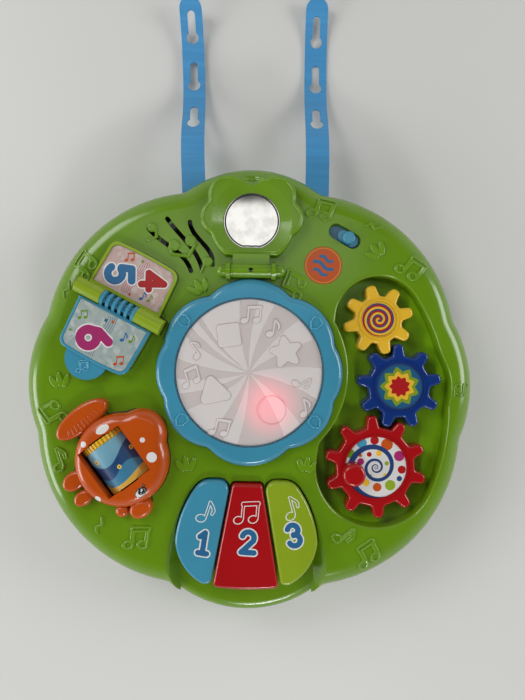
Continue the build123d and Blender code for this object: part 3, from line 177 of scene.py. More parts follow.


# glossy moulded plastic: slow mottle, orange peel, fine scuffs and dust, and for the panel painted light that
# lifts the gear tray's floor
def mouldedPlastic(name, colour, look):
    paint = Paint(name, {"Coat Roughness": 0.12, "Coat Weight": look["coat"], "IOR": 1.5})
    cloud = paint.noise(skin["cloud"], 3.0)
    grain = paint.noise(skin["peel"], 1.0)
    along, cross = [paint.over(*edge, paint.noise(1.0, 2.0, paint.stretched(scale, turn)))
                    for scale, turn, edge in skin["scuffs"]]
    scuffs = along + cross
    dust = paint.over(0.70, 0.80, paint.noise(skin["dust"], 0.0))
    shade = paint.layer(paint.over(0.30, 0.70, cloud), *shades(colour, look["mottle"]))
    shade = paint.layer(scuffs * look["scuff"] + dust * look["dust"], shade, colours["paperWhite"])
    # painted light: the gear tray's floor is painted lighter, for light reaching down into the tray
    if "trayPaintedLight" in look:
        u, v, w = paint.spot()
        values = {"left": u, "rear": v, "front": v, "outer": (u * u + v * v) ** 0.5, "level": w}
        trayLightMask = 1.0
        for edge, value in values.items():
            trayLightMask = paint.over(*trayFloor[edge], value) * trayLightMask
        shade = paint.layer(trayLightMask, shade, tint(colour, look["trayPaintedLight"]))
    paint.bump(grain, look["peelDepth"], skin["peelStrength"])
    rough = look["rough"] + (cloud - 0.5) * skin["cloudRough"] + scuffs * skin["scuffRough"]
    return paint.finish(shade, rough)


glossLook = {"rough": 0.19, "mottle": 0.05, "scuff": 0.005, "dust": 0.006, "peelDepth": 0.05, "coat": 0.12}
satinLook = {"rough": 0.42, "mottle": 0.06, "scuff": 0.01, "dust": 0.01, "peelDepth": 0.08, "coat": 0.0}
finishes = {name: mouldedPlastic(name + "Moulded", colours[name], glossLook)
            for name in ("leafGreen", "sky", "lime", "orange", "royal", "red", "yellow")}
# the top housing's green, with the tray floor painted 1.8 times lighter as painted light
trayPaintedLightLook = {**glossLook, "trayPaintedLight": 1.8}
finishes["panelGreen"] = mouldedPlastic("panelGreenMoulded", colours["leafGreen"], trayPaintedLightLook)
# lighter copies for raised reliefs, a painted highlight, and a darker sky for painted shade in gaps and
# recesses
for name, base, share in (("reliefGreen", "leafGreen", 1.08), ("deepSky", "sky", 0.55),
                          ("reliefSky", "sky", 1.22)):
    finishes[name] = mouldedPlastic(name + "Moulded", tint(colours[base], share), glossLook)
finishes["blackMoulded"] = mouldedPlastic("blackMoulded", colours["black"], satinLook)
finishes["whiteMoulded"] = mouldedPlastic("whiteMoulded", (0.62, 0.61, 0.59), satinLook)


# soft strap plastic: satin, with a pebbled skin and faint bend marks across it
def strapPlastic():
    look = {"pebble": 1500.0, "marks": 260.0, "rough": 0.46}
    paint = Paint("strapSoftPlastic", {"IOR": 1.48})
    pebble = paint.noise(look["pebble"], 1.0)
    marks = paint.noise(1.0, 2.0, paint.stretched((12.0, look["marks"], 40.0)))
    cloud = paint.noise(22.0, 2.0)
    shade = paint.layer(paint.over(0.35, 0.75, marks), *shades(colours["strapSky"], 0.06))
    shade = paint.layer(paint.over(0.55, 0.80, cloud) * 0.03, shade, colours["paperWhite"])
    paint.bump(pebble, 0.06, 0.5)
    return paint.finish(shade, look["rough"] + (marks - 0.5) * 0.14)


def metalFinish(name, colour, rough, brushed):
    paint = Paint(name, {"Metallic": 1.0})
    lines = paint.noise(1.0, 2.0, paint.stretched(brushed))
    shade = paint.layer(lines, tint(colour, 0.86), tint(colour, 1.08))
    return paint.finish(shade, rough + (lines - 0.5) * 0.12)


def mirrorFilm():
    paint = Paint("mirrorFilm", {"Metallic": 1.0, "Coat Weight": 0.3})
    haze = paint.noise(28.0, 3.0)
    waves = paint.noise(55.0, 1.0)
    paint.bump(waves, 0.04, 0.4)
    smudge = paint.over(0.42, 0.68, paint.noise(75.0, 3.0))
    return paint.finish(paint.layer(smudge, (0.90, 0.89, 0.84), (0.72, 0.71, 0.66)), 0.035 + haze * 0.06)


def rubberFinish():
    paint = Paint("rubberDome", {"Specular IOR Level": 0.3})
    grain = paint.noise(900.0, 2.0)
    paint.bump(grain, 0.05)
    return paint.finish(paint.layer(grain, (0.10, 0.10, 0.11), (0.16, 0.16, 0.17)), 0.7 + (grain - 0.5) * 0.2)


# circuit board: lacquer with copper tracks on a grid
def boardLacquer():
    paint = Paint("boardLacquer", {"Coat Weight": 0.4})
    u, v, w = paint.spot()
    cells = paint.add("ShaderNodeTexVoronoi", {"distance": "CHEBYCHEV", "feature": "DISTANCE_TO_EDGE"},
                      {"Vector": paint.place(), "Scale": 130.0})
    track = paint.inside(cells - 0.05, 0.01)
    pitch, padReach = 7.6, 0.9
    across, up = [paint.maths("ABSOLUTE", value % pitch - pitch / 2) for value in (u, v)]
    shade = paint.layer(track, (0.015, 0.11, 0.035), (0.05, 0.20, 0.06))
    shade = paint.layer(paint.inside(across + up - padReach, 0.1), shade, (0.55, 0.50, 0.36))
    return paint.finish(shade, 0.35 + track * 0.1)


def lampLens(name, colour, lit):
    paint = Paint(name, {"Transmission Weight": 0.6, "IOR": 1.49, "Emission Strength": lit})
    haze = paint.noise(600.0, 1.0)
    paint.feed(paint.shader.inputs["Emission Color"], paint.layer(haze, tint(colour, 0.9), colour))
    return paint.finish(paint.layer(haze, tint(colour, 0.85), colour), 0.08 + haze * 0.06)


# battery cells: dark printed sleeve, pale band at one end
def cellSleeve():
    paint = Paint("cellSleeve", {"Coat Weight": 0.3})
    u, v, w = paint.spot()
    grain = paint.noise(300.0, 2.0)
    band = paint.inside(paint.maths("ABSOLUTE", u) - 17.0, 0.2)
    shade = paint.layer(band, (0.30, 0.24, 0.08), (0.03, 0.03, 0.035))
    return paint.finish(paint.layer(grain * 0.15, shade, (0.20, 0.20, 0.20)), 0.30 + grain * 0.08)


def wireSleeve():
    paint = Paint("wireSleeve", {})
    long = paint.noise(1.0, 2.0, paint.stretched((90.0, 90.0, 90.0)))
    shade = paint.layer(paint.over(0.45, 0.55, long), (0.28, 0.01, 0.01), (0.02, 0.02, 0.02))
    return paint.finish(shade, 0.4 + long * 0.1)


plainFinish = {
    "panelGreen": ("top_housing",),
    "leafGreen": ("mirror_flap", "bottom_housing", "battery_door"),
    "sky": ("drum_ring", "book_leaf", "left_key", "slide_knob"),
    "lime": ("book_base", "right_key"),
    "orange": ("fish_cover",),
    "yellow": ("picture_roller", "yellow_gear"),
    "royal": ("blue_gear",),
    "red": ("red_gear", "crank_knob", "middle_key"),
    "blackMoulded": ("slide_switch", "speaker_frame", "speaker_cone"),
    "whiteMoulded": ("light_box",),
    "steel": ("housing_screws", "battery_door_screw", "battery_contacts", "ring_screws", "flap_pin",
              "book_screws", "book_pin", "cover_screws", "roller_axle", "red_gear_screw", "blue_gear_screw",
              "yellow_gear_screw", "key_hinge_rod", "board_screws"),
    "mirror": ("mirror",),
    "rubber": ("drum_domes", "left_key_dome", "middle_key_dome", "right_key_dome"),
    "board": ("lamp_board", "main_board"),
    "redLens": ("red_lamp",),
    "greenLens": ("green_lamp",),
    "yellowLens": ("yellow_lamp",),
    "strap": ("left_strap", "right_strap"),
    "cells": ("battery_cells",),
    "wires": ("wiring",),
}
finishes["steel"] = metalFinish("platedSteel", (0.55, 0.55, 0.56), 0.30, (300.0, 300.0, 40.0))
finishes["mirror"] = mirrorFilm()
finishes["rubber"] = rubberFinish()
finishes["board"] = boardLacquer()
finishes["redLens"] = lampLens("redLens", (0.90, 0.04, 0.05), 2.0)
finishes["greenLens"] = lampLens("greenLens", (0.08, 0.60, 0.12), 0.0)
finishes["yellowLens"] = lampLens("yellowLens", (0.90, 0.62, 0.06), 0.0)
finishes["strap"] = strapPlastic()
finishes["cells"] = cellSleeve()
finishes["wires"] = wireSleeve()


def dress(node, material):
    mesh = nodes[node].data
    mesh.materials.clear()
    mesh.materials.append(material)


for finish, names in plainFinish.items():
    for node in names:
        dress(node, finishes[finish])
print("plain finishes:", len(plainFinish))


# drum head: frosted white in three tones, with the red lamp's light from below painted on as a pink glow
drum = {"x": 0.0, "y": 17.5, "glowX": 17.5, "glowY": -10.5, "glowReach": 34.0, "glowCore": 5.0,
        "glow": (0.48, 0.006, 0.050)}


def drumHeadFinish(name, colour):
    paint = Paint(name, {"Subsurface Weight": 0.25, "Subsurface Radius": (0.006, 0.005, 0.005),
                         "IOR": 1.46, "Emission Strength": 1.0})
    frost = paint.noise(420.0, 3.0)
    cloud = paint.noise(26.0, 2.0)
    u, v, w = paint.spot(drum["glowX"], drum["glowY"])
    away = paint.maths("SQRT", u * u + v * v)
    # painted light: a pink emission glow round the red lamp, standing in for its light shining through the
    # head
    glow = paint.over(drum["glowReach"], drum["glowCore"], away + (cloud - 0.5) * 9)
    light = paint.layer(glow, (0.0, 0.0, 0.0), drum["glow"])
    paint.feed(paint.shader.inputs["Emission Color"], light)
    paint.bump(frost, 0.05, 0.5)
    return paint.finish(paint.layer(cloud, *shades(colour, 0.03)), 0.46 + (frost - 0.5) * 0.2)


for name, colour in (("Ground", (0.535, 0.480, 0.465)), ("Raised", (0.620, 0.580, 0.565)),
                     ("Line", (0.415, 0.345, 0.332))):
    finishes["drum" + name] = drumHeadFinish("drumHead" + name, colour)
dress("drum_head", finishes["drumGround"])

# the middle of each gear wheel's label
gears = {"yellow": {"x": 114.0, "y": 66.0}, "blue": {"x": 133.5, "y": 7.0}, "red": {"x": 113.5, "y": -65.0}}


def printPaint(name):
    return Paint(name, {"Coat Weight": 0.35, "Coat Roughness": 0.18, "IOR": 1.5})


def polar(paint, place):
    u, v, w = paint.spot(place["x"], place["y"])
    return u, v, paint.maths("SQRT", u * u + v * v), paint.maths("ARCTAN2", v, u) / (2 * math.pi)


def printGrain(paint, colour):
    grain = paint.noise(1800.0, 1.0)
    paint.bump(grain, 0.02, 0.4)
    return paint.finish(paint.layer(grain * 0.10, colour, colours["black"]), 0.30 + grain * 0.08)


# yellow wheel: a two-colour spiral inside a thin ring
def yellowWheelPrint():
    look = {"pitch": 5.0, "edge": 14.8, "bands": ((0.22, 0.17, "red"), (0.52, 0.14, "navy"))}
    paint = printPaint("yellowWheelPrint")
    u, v, away, turn = polar(paint, gears["yellow"])
    wind = (away / look["pitch"] - turn) % 1.0
    shade = colours["yellow"]
    for middle, reach, colour in look["bands"]:
        band = paint.maths("ABSOLUTE", wind - middle) - reach
        shade = paint.layer(paint.inside(band, 0.02), shade, colours[colour])
    return printGrain(paint, paint.layer(paint.inside(away - look["edge"]), colours["yellow"], shade))


# blue wheel: nested star bursts on a teal disc
def blueWheelPrint():
    look = {"points": 9, "depth": 0.25, "disc": 19.0,
            "bursts": ((17.6, "lime", 0.85), (13.6, "yellow", 1.0), (9.4, "red", 1.1))}
    paint = printPaint("blueWheelPrint")
    u, v, away, turn = polar(paint, gears["blue"])
    ripple = paint.maths("ABSOLUTE", (turn * look["points"]) % 1.0 - 0.5) * 2
    shade = paint.layer(paint.inside(away - look["disc"]), colours["navy"], colours["teal"])
    for reach, colour, gain in look["bursts"]:
        edge = away - reach * (1 - look["depth"] * ripple)
        shade = paint.layer(paint.inside(edge), shade, tint(colours[colour], gain))
    return printGrain(paint, shade)


# red wheel: navy spiral that widens outwards, with loose coloured dots
def redWheelPrint():
    look = {"growth": 2.6, "through": (23.0, 0.5), "coil": 0.125, "wider": 0.06, "widerFrom": (15.0, 4.0),
            "dotGain": 1.15, "dots": (
        (-23.0, 12.0, 4.0, "leafGreen"), (-13.0, 21.5, 4.6, "sky"), (-1.5, 24.0, 3.8, "red"),
        (9.5, 20.5, 5.2, "orange"), (20.5, 10.5, 4.6, "magenta"), (23.0, -1.5, 3.6, "red"),
        (21.0, -9.5, 2.4, "navy"), (13.0, -15.5, 4.6, "lime"), (1.5, -17.5, 3.8, "orange"),
        (-13.5, 5.0, 3.0, "magenta"), (-6.0, 11.5, 2.2, "red"), (2.5, 12.6, 2.6, "yellow"),
        (-12.0, -5.0, 2.6, "sky"), (-8.5, -13.5, 3.2, "yellow"), (-14.0, 10.5, 1.6, "orange"),
        (9.6, 3.8, 1.9, "lime"), (8.0, -6.5, 1.6, "yellow"), (-15.0, -11.5, 1.8, "red"),
        (-5.0, -7.4, 1.5, "lime"))}
    paint = printPaint("redWheelPrint")
    u, v, away, turn = polar(paint, gears["red"])
    shade = paint.layer(paint.noise(60.0), tint(colours["paperWhite"], 0.92), colours["paperWhite"])
    for x, y, radius, colour in look["dots"]:
        across, up = u - x, v - y
        dot = paint.maths("SQRT", across * across + up * up) - radius
        shade = paint.layer(paint.inside(dot), shade, tint(colours[colour], look["dotGain"]))
    reach, start = look["through"]
    wind = (paint.maths("LOGARITHM", (away + 0.3) / reach, look["growth"]) - turn + start + 0.5) % 1.0
    coil = paint.maths("ABSOLUTE", wind - 0.5) - look["coil"]
    coil = coil - paint.over(*look["widerFrom"], away) * look["wider"]
    return printGrain(paint, paint.layer(paint.inside(coil, 0.012), shade, colours["navy"]))


dress("yellow_gear_label", yellowWheelPrint())
dress("blue_gear_label", blueWheelPrint())
dress("red_gear_label", redWheelPrint())

# picture roller: bands of waves with ringed dots, wrapped round the sleeve
roller = {"x": -114.5, "y": -61.0, "z": 61.0, "turn": -53, "radius": 23.7}


def rollerPrint():
    look = {"soft": 0.3, "dotColour": (0.75, 0.55, 0.10), "dotCore": 0.45,
            "dots": ((-8.0, 14.0, 2.2), (6.0, -2.0, 1.9), (16.0, 22.0, 2.4), (-2.0, -20.0, 2.0),
                     (12.0, 44.0, 2.6), (-10.0, 58.0, 2.2), (4.0, -46.0, 2.5), (15.0, -30.0, 1.9),
                     (-12.0, -60.0, 2.4))}
    paint = printPaint("rollerPicturePrint")
    along, cross, up = paint.spot(roller["x"], roller["y"], roller["z"], roller["turn"])
    around = paint.maths("ARCTAN2", up, cross) * roller["radius"] - math.pi / 2 * roller["radius"]
    sway = paint.maths("SINE", around / 6.2) * 3.2
    swell = paint.maths("SINE", around / 9.1 + 1.0) * 4.4
    shade = paint.layer(paint.over(-17, 22, along), (0.16, 0.36, 0.46), (0.06, 0.20, 0.33))
    for edge, colour in ((-5.0 + swell * 1.3, (0.008, 0.050, 0.150)), (8.5 + sway, (0.04, 0.19, 0.32)),
                         (17.0 + swell * 0.5, (0.62, 0.36, 0.05))):
        shade = paint.layer(paint.inside(edge - along, look["soft"]), shade, colour)
    for x, y, radius in look["dots"]:
        across, high = along - x, around - y
        away = paint.maths("SQRT", across * across + high * high)
        shade = paint.layer(paint.inside(away - radius, 0.2), shade, look["dotColour"])
        shade = paint.layer(paint.inside(away - radius * look["dotCore"], 0.2), shade, colours["orange"])
    return printGrain(paint, shade)


dress("roller_label", rollerPrint())

# book pages: pale printed card with a faint mosaic
book = {"x": -113.5, "y": 73.5, "turn": -26.9}


def pagePrint(name, low, high, fleck):
    paint = printPaint(name)
    soft = paint.noise(70.0, 2.0)
    cells = paint.add("ShaderNodeTexVoronoi", {}, {"Vector": paint.place(), "Scale": 260.0}, out="Color")
    pick = paint.add("ShaderNodeSeparateColor", {}, {0: cells})
    shade = paint.layer(soft, low, high)
    shade = paint.layer(pick * pick * 0.55, shade, fleck)
    shade = paint.layer(paint.over(0.6, 1.0, pick.also(1)) * 0.3, shade, colours["paperWhite"])
    return printGrain(paint, shade)


dress("page_label", pagePrint("upperPagePrint", (0.43, 0.30, 0.26), (0.50, 0.37, 0.33), (0.52, 0.36, 0.36)))
dress("leaf_label", pagePrint("leafPagePrint", (0.30, 0.35, 0.32), (0.37, 0.42, 0.39), (0.16, 0.30, 0.36)))

# badge: plain orange disc with a thin ring
badge = {"x": 63.5, "y": 112.8, "ring": 15.2}


def badgePrint():
    paint = printPaint("badgePrint")
    u, v, away, turn = polar(paint, badge)
    edge = paint.inside(paint.maths("ABSOLUTE", away - badge["ring"]) - 0.35, 0.1)
    shade = paint.layer(paint.noise(40.0), tint(colours["orange"], 0.92), tint(colours["orange"], 1.05))
    return printGrain(paint, paint.layer(edge * 0.5, shade, colours["yellow"]))


dress("badge_label", badgePrint())
print("printed labels dressed")


# flat shapes as distance fields in millimetres: below nought is inside
def disc(radius, x=0, y=0):
    return lambda u, v: np.hypot(u - x, v - y) - radius


def turned(u, v, x, y, turn):
    c, s = math.cos(math.radians(turn)), math.sin(math.radians(turn))
    return c * (u - x) + s * (v - y), c * (v - y) - s * (u - x)


def oval(wide, tall, x=0, y=0, turn=0):
    def gap(u, v):
        p, q = turned(u, v, x, y, turn)
        return (np.hypot(p / wide, q / tall) - 1) * min(wide, tall)
    return gap


def stroke(points, width):
    def gap(u, v):
        best = np.full(np.shape(u), 1e3)
        for (ax, ay), (bx, by) in zip(points, points[1:]):
            along = ((u - ax) * (bx - ax) + (v - ay) * (by - ay)) / ((bx - ax) ** 2 + (by - ay) ** 2)
            along = np.clip(along, 0, 1)
            best = np.minimum(best, np.hypot(u - ax - along * (bx - ax), v - ay - along * (by - ay)))
        return best - width / 2
    return gap


def plate(corners, soft=0.0):
    closed = list(corners) + [corners[0]]

    def gap(u, v):
        within = np.zeros(np.shape(u), bool)
        for (ax, ay), (bx, by) in zip(closed, closed[1:]):
            if ay != by:
                within ^= ((ay > v) != (by > v)) & (u < (bx - ax) * (v - ay) / (by - ay) + ax)
        edge = stroke(closed, 0)(u, v)
        return np.where(within, -edge, edge) - soft
    return gap


def merged(*shapes):
    return lambda u, v: np.minimum.reduce([shape(u, v) for shape in shapes])


def grown(shape, by):
    return lambda u, v: shape(u, v) - by


def lined(shape, width):
    return lambda u, v: np.abs(shape(u, v)) - width / 2


def moved(shape, x, y, turn=0, size=1.0):
    def gap(u, v):
        p, q = turned(u, v, x, y, turn)
        return shape(p / size, q / size) * size
    return gap


def sized(shape, size):
    return moved(shape, 0, 0, 0, size)


def arc(radius, start, end, x=0, y=0, steps=14):
    turns = np.radians(np.linspace(start, end, steps))
    return [(x + radius * math.cos(t), y + radius * math.sin(t)) for t in turns]


def star(points, outer, inner, soft):
    corners = []
    for i in range(2 * points):
        reach = (outer if i % 2 == 0 else inner) - soft
        t = math.pi * i / points + math.pi / 2
        corners.append((reach * math.cos(t), reach * math.sin(t)))
    return plate(corners, soft)


def quaver():
    return merged(oval(3.6, 2.8, -1.0, -6.0, 20), stroke([(1.9, -5.2), (1.9, 7.0)], 1.7),
                  stroke([(1.9, 7.0), (4.6, 4.6), (6.2, 2.2), (5.8, -0.4)], 2.0))


def beamed():
    return merged(oval(3.4, 2.7, -6.0, -6.5, 20), oval(3.4, 2.7, 4.6, -5.0, 20),
                  stroke([(-3.2, -5.6), (-3.2, 6.0)], 1.7), stroke([(7.4, -4.2), (7.4, 7.4)], 1.7),
                  stroke([(-3.2, 5.4), (7.4, 6.8)], 3.0))


def fronds():
    return merged(oval(2.4, 6.0, 0, 0.5), oval(2.3, 5.6, -4.6, -0.8, 28), oval(2.3, 5.6, 4.6, -0.8, -28))


def pick():
    return plate([(-3.4, 3.0), (0, 4.4), (3.4, 3.0), (3.0, -1.6), (0, -4.6), (-3.0, -1.6)], 1.2)


def zigzag():
    return stroke([(-6, -1.2), (-2.5, 2.0), (1.0, -1.4), (5.5, 1.8)], 2.2)


def numeral(which, width=4.0):
    routes = {
        1: [[(-3.0, 4.6), (0.6, 8.0), (0.6, -8.0)], [(-2.8, -8.0), (4.0, -8.0)]],
        2: [arc(4.6, 165, -35, 0, 3.4) + [(-4.8, -8.0), (5.2, -8.0)]],
        3: [arc(4.1, 160, -90, 0, 3.9), arc(4.4, 90, -160, 0, -3.9)],
        4: [[(2.2, -8.0), (2.2, 8.0), (-5.6, -2.8), (5.8, -2.8)]],
        5: [[(4.4, 8.0), (-3.4, 8.0), (-4.2, 1.0)] + arc(4.9, 125, -150, -0.4, -3.1)],
        6: [arc(4.8, 0, 360, 0, -3.4, 24), [(-4.8, -3.4), (-3.4, 2.8), (2.4, 8.2)]],
    }
    return merged(*[stroke(route, width) for route in routes[which]])


trees = {}
creases = {"trim": 50, "node": 32}


# height of a node's upper side in millimetres, or None beside it
def surfaceHeight(node, x, y):
    if node not in trees:
        mesh = nodes[node].data
        corners = [v.co for v in mesh.vertices]
        trees[node] = BVHTree.FromPolygons(corners, [tuple(p.vertices) for p in mesh.polygons])
    hit = trees[node].ray_cast(Vector((x * mm, y * mm, 0.2)), Vector((0, 0, -1)))[0]
    return None if hit is None else hit.z / mm


# cuts a shape out of a fine grid, with its edge on the outline
def traced(shape, reach, cell):
    count = int(math.ceil(reach / cell))
    line = np.arange(-count, count + 1) * cell
    u, v = np.meshgrid(line, line, indexing="ij")
    d = shape(u, v)
    d = np.where(np.abs(d) < cell * 0.02, -cell * 0.02, d)
    points, index, faces = [], {}, []

    def corner(i, j):
        key = (i, j)
        if key not in index:
            index[key] = len(points)
            points.append((u[i, j], v[i, j], d[i, j]))
        return index[key]

    def crossing(a, b):
        key = (min(a, b), max(a, b))
        if key not in index:
            share = d[a] / (d[a] - d[b])
            index[key] = len(points)
            points.append((u[a] + share * (u[b] - u[a]), v[a] + share * (v[b] - v[a]), 0.0))
        return index[key]

    low = np.minimum.reduce([d[:-1, :-1], d[1:, :-1], d[1:, 1:], d[:-1, 1:]])
    for i, j in zip(*np.nonzero(low < 0)):
        ring = [(i, j), (i + 1, j), (i + 1, j + 1), (i, j + 1)]
        face = []
        for a, b in zip(ring, ring[1:] + ring[:1]):
            if d[a] < 0:
                face.append(corner(*a))
            if (d[a] < 0) != (d[b] < 0):
                face.append(crossing(a, b))
        if len(face) > 2:
            faces.append(face)
    return points, faces


# a raised piece: the shape laid over a node, with a rounded edge and a closed underside
def raised(name, shape, place, node, body, material, look, level=None):
    x, y, turn = place
    points, faces = traced(shape, look["reach"], look["cell"])
    c, s = math.cos(math.radians(turn)), math.sin(math.radians(turn))
    top, bottom = [], []
    for u, v, d in points:
        px, py = x + c * u - s * v, y + s * u + c * v
        base = level if level is not None else surfaceHeight(node, px, py)
        inward = min(1.0, -d / look["edge"])
        rise = look["rise"] * math.sqrt(max(0.0, 1 - (1 - inward) ** 2))
        top.append((px * mm, py * mm, (base + rise) * mm))
        bottom.append((px * mm, py * mm, (base - look["sink"]) * mm))
    ahead = {}
    for face in faces:
        for a, b in zip(face, face[1:] + face[:1]):
            ahead[(a, b)] = True
    shift = len(points)
    walls = [(b, a, a + shift, b + shift) for a, b in ahead if (b, a) not in ahead]
    under = [[k + shift for k in reversed(face)] for face in faces]
    mesh = bpy.data.meshes.new(name)
    mesh.from_pydata(top + bottom, [], [list(f) for f in faces] + walls + under)
    mesh.validate()
    mesh.shade_smooth()
    mesh.set_sharp_from_angle(angle=math.radians(creases["trim"]))
    mesh.materials.append(material)
    piece = bpy.data.objects.new(name, mesh)
    bpy.context.scene.collection.objects.link(piece)
    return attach(piece, body)


panelLevel = 70.0
reliefLook = {"rise": 1.1, "edge": 1.0, "sink": 0.3, "cell": 0.45, "reach": 16.0}
printLook = {"rise": 0.06, "edge": 0.05, "sink": 0.05, "cell": 0.3, "reach": 16.0}
overLook = {**printLook, "rise": 0.12}

# embossed motifs over the panel, in a lighter green for a painted highlight: motif, then place and turn
panelMotifs = {
    "noteRearLeft": (beamed, -147.4, 109.5, 52), "curlLeft": (zigzag, -162.0, 88.0, 60),
    "frondLeft": (fronds, -167.0, 7.5, 8), "noteLeft": (beamed, -173.0, -22.4, 120),
    "quaverLeft": (quaver, -167.5, -62.0, 20), "crossFrontLeft": (zigzag, -129.3, -119.5, 60),
    "noteFrontLeft": (beamed, -96.5, -129.6, -6), "frondsFrontLeft": (fronds, -54.4, -64.4, 8),
    "frondsFrontRight": (fronds, 52.3, -63.4, -8), "quaverFrontRight": (quaver, 86.0, -123.7, -50),
    "noteFrontRight": (beamed, 106.6, -141.0, 28), "noteRight": (beamed, 187.5, 4.5, 178),
    "noteRearRight": (beamed, 141.9, 112.8, -38), "frondsRearRight": (fronds, 109.9, 126.4, 40),
    "curlRear": (zigzag, 107.7, 147.5, -15), "noteRear": (beamed, 61.6, 163.5, -20),
    "noteMiddleRight": (beamed, 37.2, 95.1, 62), "frondsMiddleLeft": (fronds, -45.7, 91.9, 30),
}
motifSizes = {"noteRight": 0.72}  # the narrow rim takes a small one
for name, (motif, x, y, turn) in panelMotifs.items():
    shape = lined(motif(), 2.0) if motif in (beamed, quaver) else motif()
    raised("panel_" + name, sized(shape, motifSizes.get(name, 1.2)), (x, y, turn), "top_housing", "housing",
           finishes["reliefGreen"], reliefLook)

# notes that bridge the speaker slots
slotLook = {**reliefLook, "reach": 17.0}
slotNotes = {
    "slotNoteA": (merged(disc(5.0, -7.0, 2.0), disc(5.0, 7.4, 6.2),
                         stroke([(-11.2, 0.0), (-9.0, -6.0), (5.8, -7.6), (11.6, 3.4)], 3.0)), -61.0, 126.5),
    "slotNoteB": (merged(disc(4.6), stroke([(-3.0, -2.6), (-5.6, -9.6)], 2.6)), -38.3, 114.4),
    "slotNoteC": (merged(disc(4.2), stroke([(3.2, -1.6), (4.2, -8.4), (-4.4, -11.6)], 2.6)), -87.9, 143.9),
}
for name, (shape, x, y) in slotNotes.items():
    raised(name, shape, (x, y, 0), "top_housing", "housing", finishes["leafGreen"], slotLook,
           level=panelLevel)

# shield marks on the drum ring, in a lighter sky blue for a painted highlight
ringLook = {**reliefLook, "rise": 0.9, "edge": 0.6, "cell": 0.3, "reach": 9.0}
ringMarks = {"ringMarkA": (-57.1, 61.2, 40), "ringMarkB": (57.1, 61.2, -40),
             "ringMarkC": (-57.9, -24.6, -40), "ringMarkD": (57.9, -24.6, 40)}
for name, place in ringMarks.items():
    raised(name, lined(pick(), 1.5), place, "drum_ring", "housing", finishes["reliefSky"], ringLook)
print("embossed motifs:", len(panelMotifs) + len(slotNotes) + len(ringMarks))


# drum head: swirling rays, plates and line notes
def rays(spans, swirl, inner, outer):
    def gap(u, v):
        away = np.hypot(u, v)
        turn = np.degrees(np.arctan2(v, u)) + swirl * away
        aside = np.full(np.shape(u), 1e3)
        for start, end in spans:
            off = np.abs((turn - (start + end) / 2 + 180) % 360 - 180) - (end - start) / 2
            aside = np.minimum(aside, np.radians(off) * away)
        return np.maximum.reduce([aside, away - outer, inner - away])
    return gap


headLook = {"rise": 0.30, "edge": 0.4, "sink": 0.3, "cell": 0.6, "reach": 64.0}
plateLook = {"rise": 0.75, "edge": 0.6, "sink": 0.3, "cell": 0.4, "reach": 18.0}
lineLook = {**plateLook, "rise": 0.55}
headRays = {"swirl": 0.16, "inner": 3.0, "outer": 63.4, "turn": -4,
            "spans": ((112, 146), (150, 157), (165, 184), (84, 97), (42, 62), (-6, 19), (-46, -30),
                      (-96, -84), (-134, -108), (-160, -148))}


def onHead(name, shape, place, finish, look):
    raised(name, shape, place, "drum_head", "drum", finishes[finish], look)


onHead("drumRays", rays(headRays["spans"], headRays["swirl"], headRays["inner"], headRays["outer"]),
       (drum["x"], drum["y"], headRays["turn"]), "drumRaised", headLook)
headPlates = {
    "drumStar": (star(5, 14.5, 8.2, 2.6), 31.7, 36.0, 12),
    "drumSquare": (plate([(-8, -7), (7, -8), (8, 7), (-7, 8)], 2.6), -18.0, 49.8, 12),
    "drumTriangle": (plate([(-8.5, -6), (9.5, -3.5), (-3.0, 10.0)], 4.2), -29.2, 0.2, 4),
}
onHead("drumLampLine", lined(disc(12.4), 1.0), (20.2, -14.6, 0), "drumLine", lineLook)
headNotes = {"drumNoteA": (beamed, 1.6, 68.5, -4), "drumNoteB": (quaver, 19.2, 57.0, -8),
             "drumNoteC": (quaver, -48.5, 36.2, 40), "drumNoteD": (beamed, -51.0, 13.4, 18),
             "drumNoteE": (beamed, -24.4, -30.0, -14), "drumNoteF": (quaver, 46.1, 10.9, -60),
             "drumNoteG": (quaver, 47.6, -11.9, 12)}
# each plate and note gets a dark Line outline: painted shade along its raised edge
for name, (shape, *place) in headPlates.items():
    onHead(name, shape, place, "drumRaised", plateLook)
    onHead(name + "Line", lined(shape, 1.0), place, "drumLine", lineLook)
for name, (motif, *place) in headNotes.items():
    onHead(name, motif(), place, "drumRaised", plateLook)
    onHead(name + "Line", lined(motif(), 0.9), place, "drumLine", lineLook)
print("drum head relief done")


# inks for thin printed shapes
def printInk(name, colour):
    paint = printPaint("ink" + name)
    patch = paint.noise(120.0, 2.0)
    return printGrain(paint, paint.layer(patch, tint(colour, 0.93), tint(colour, 1.05)))


inks = {name: printInk(name.capitalize(), colours[name]) for name in
        ("paperWhite", "ink", "red", "magenta", "orange", "leafGreen", "black", "teal")}

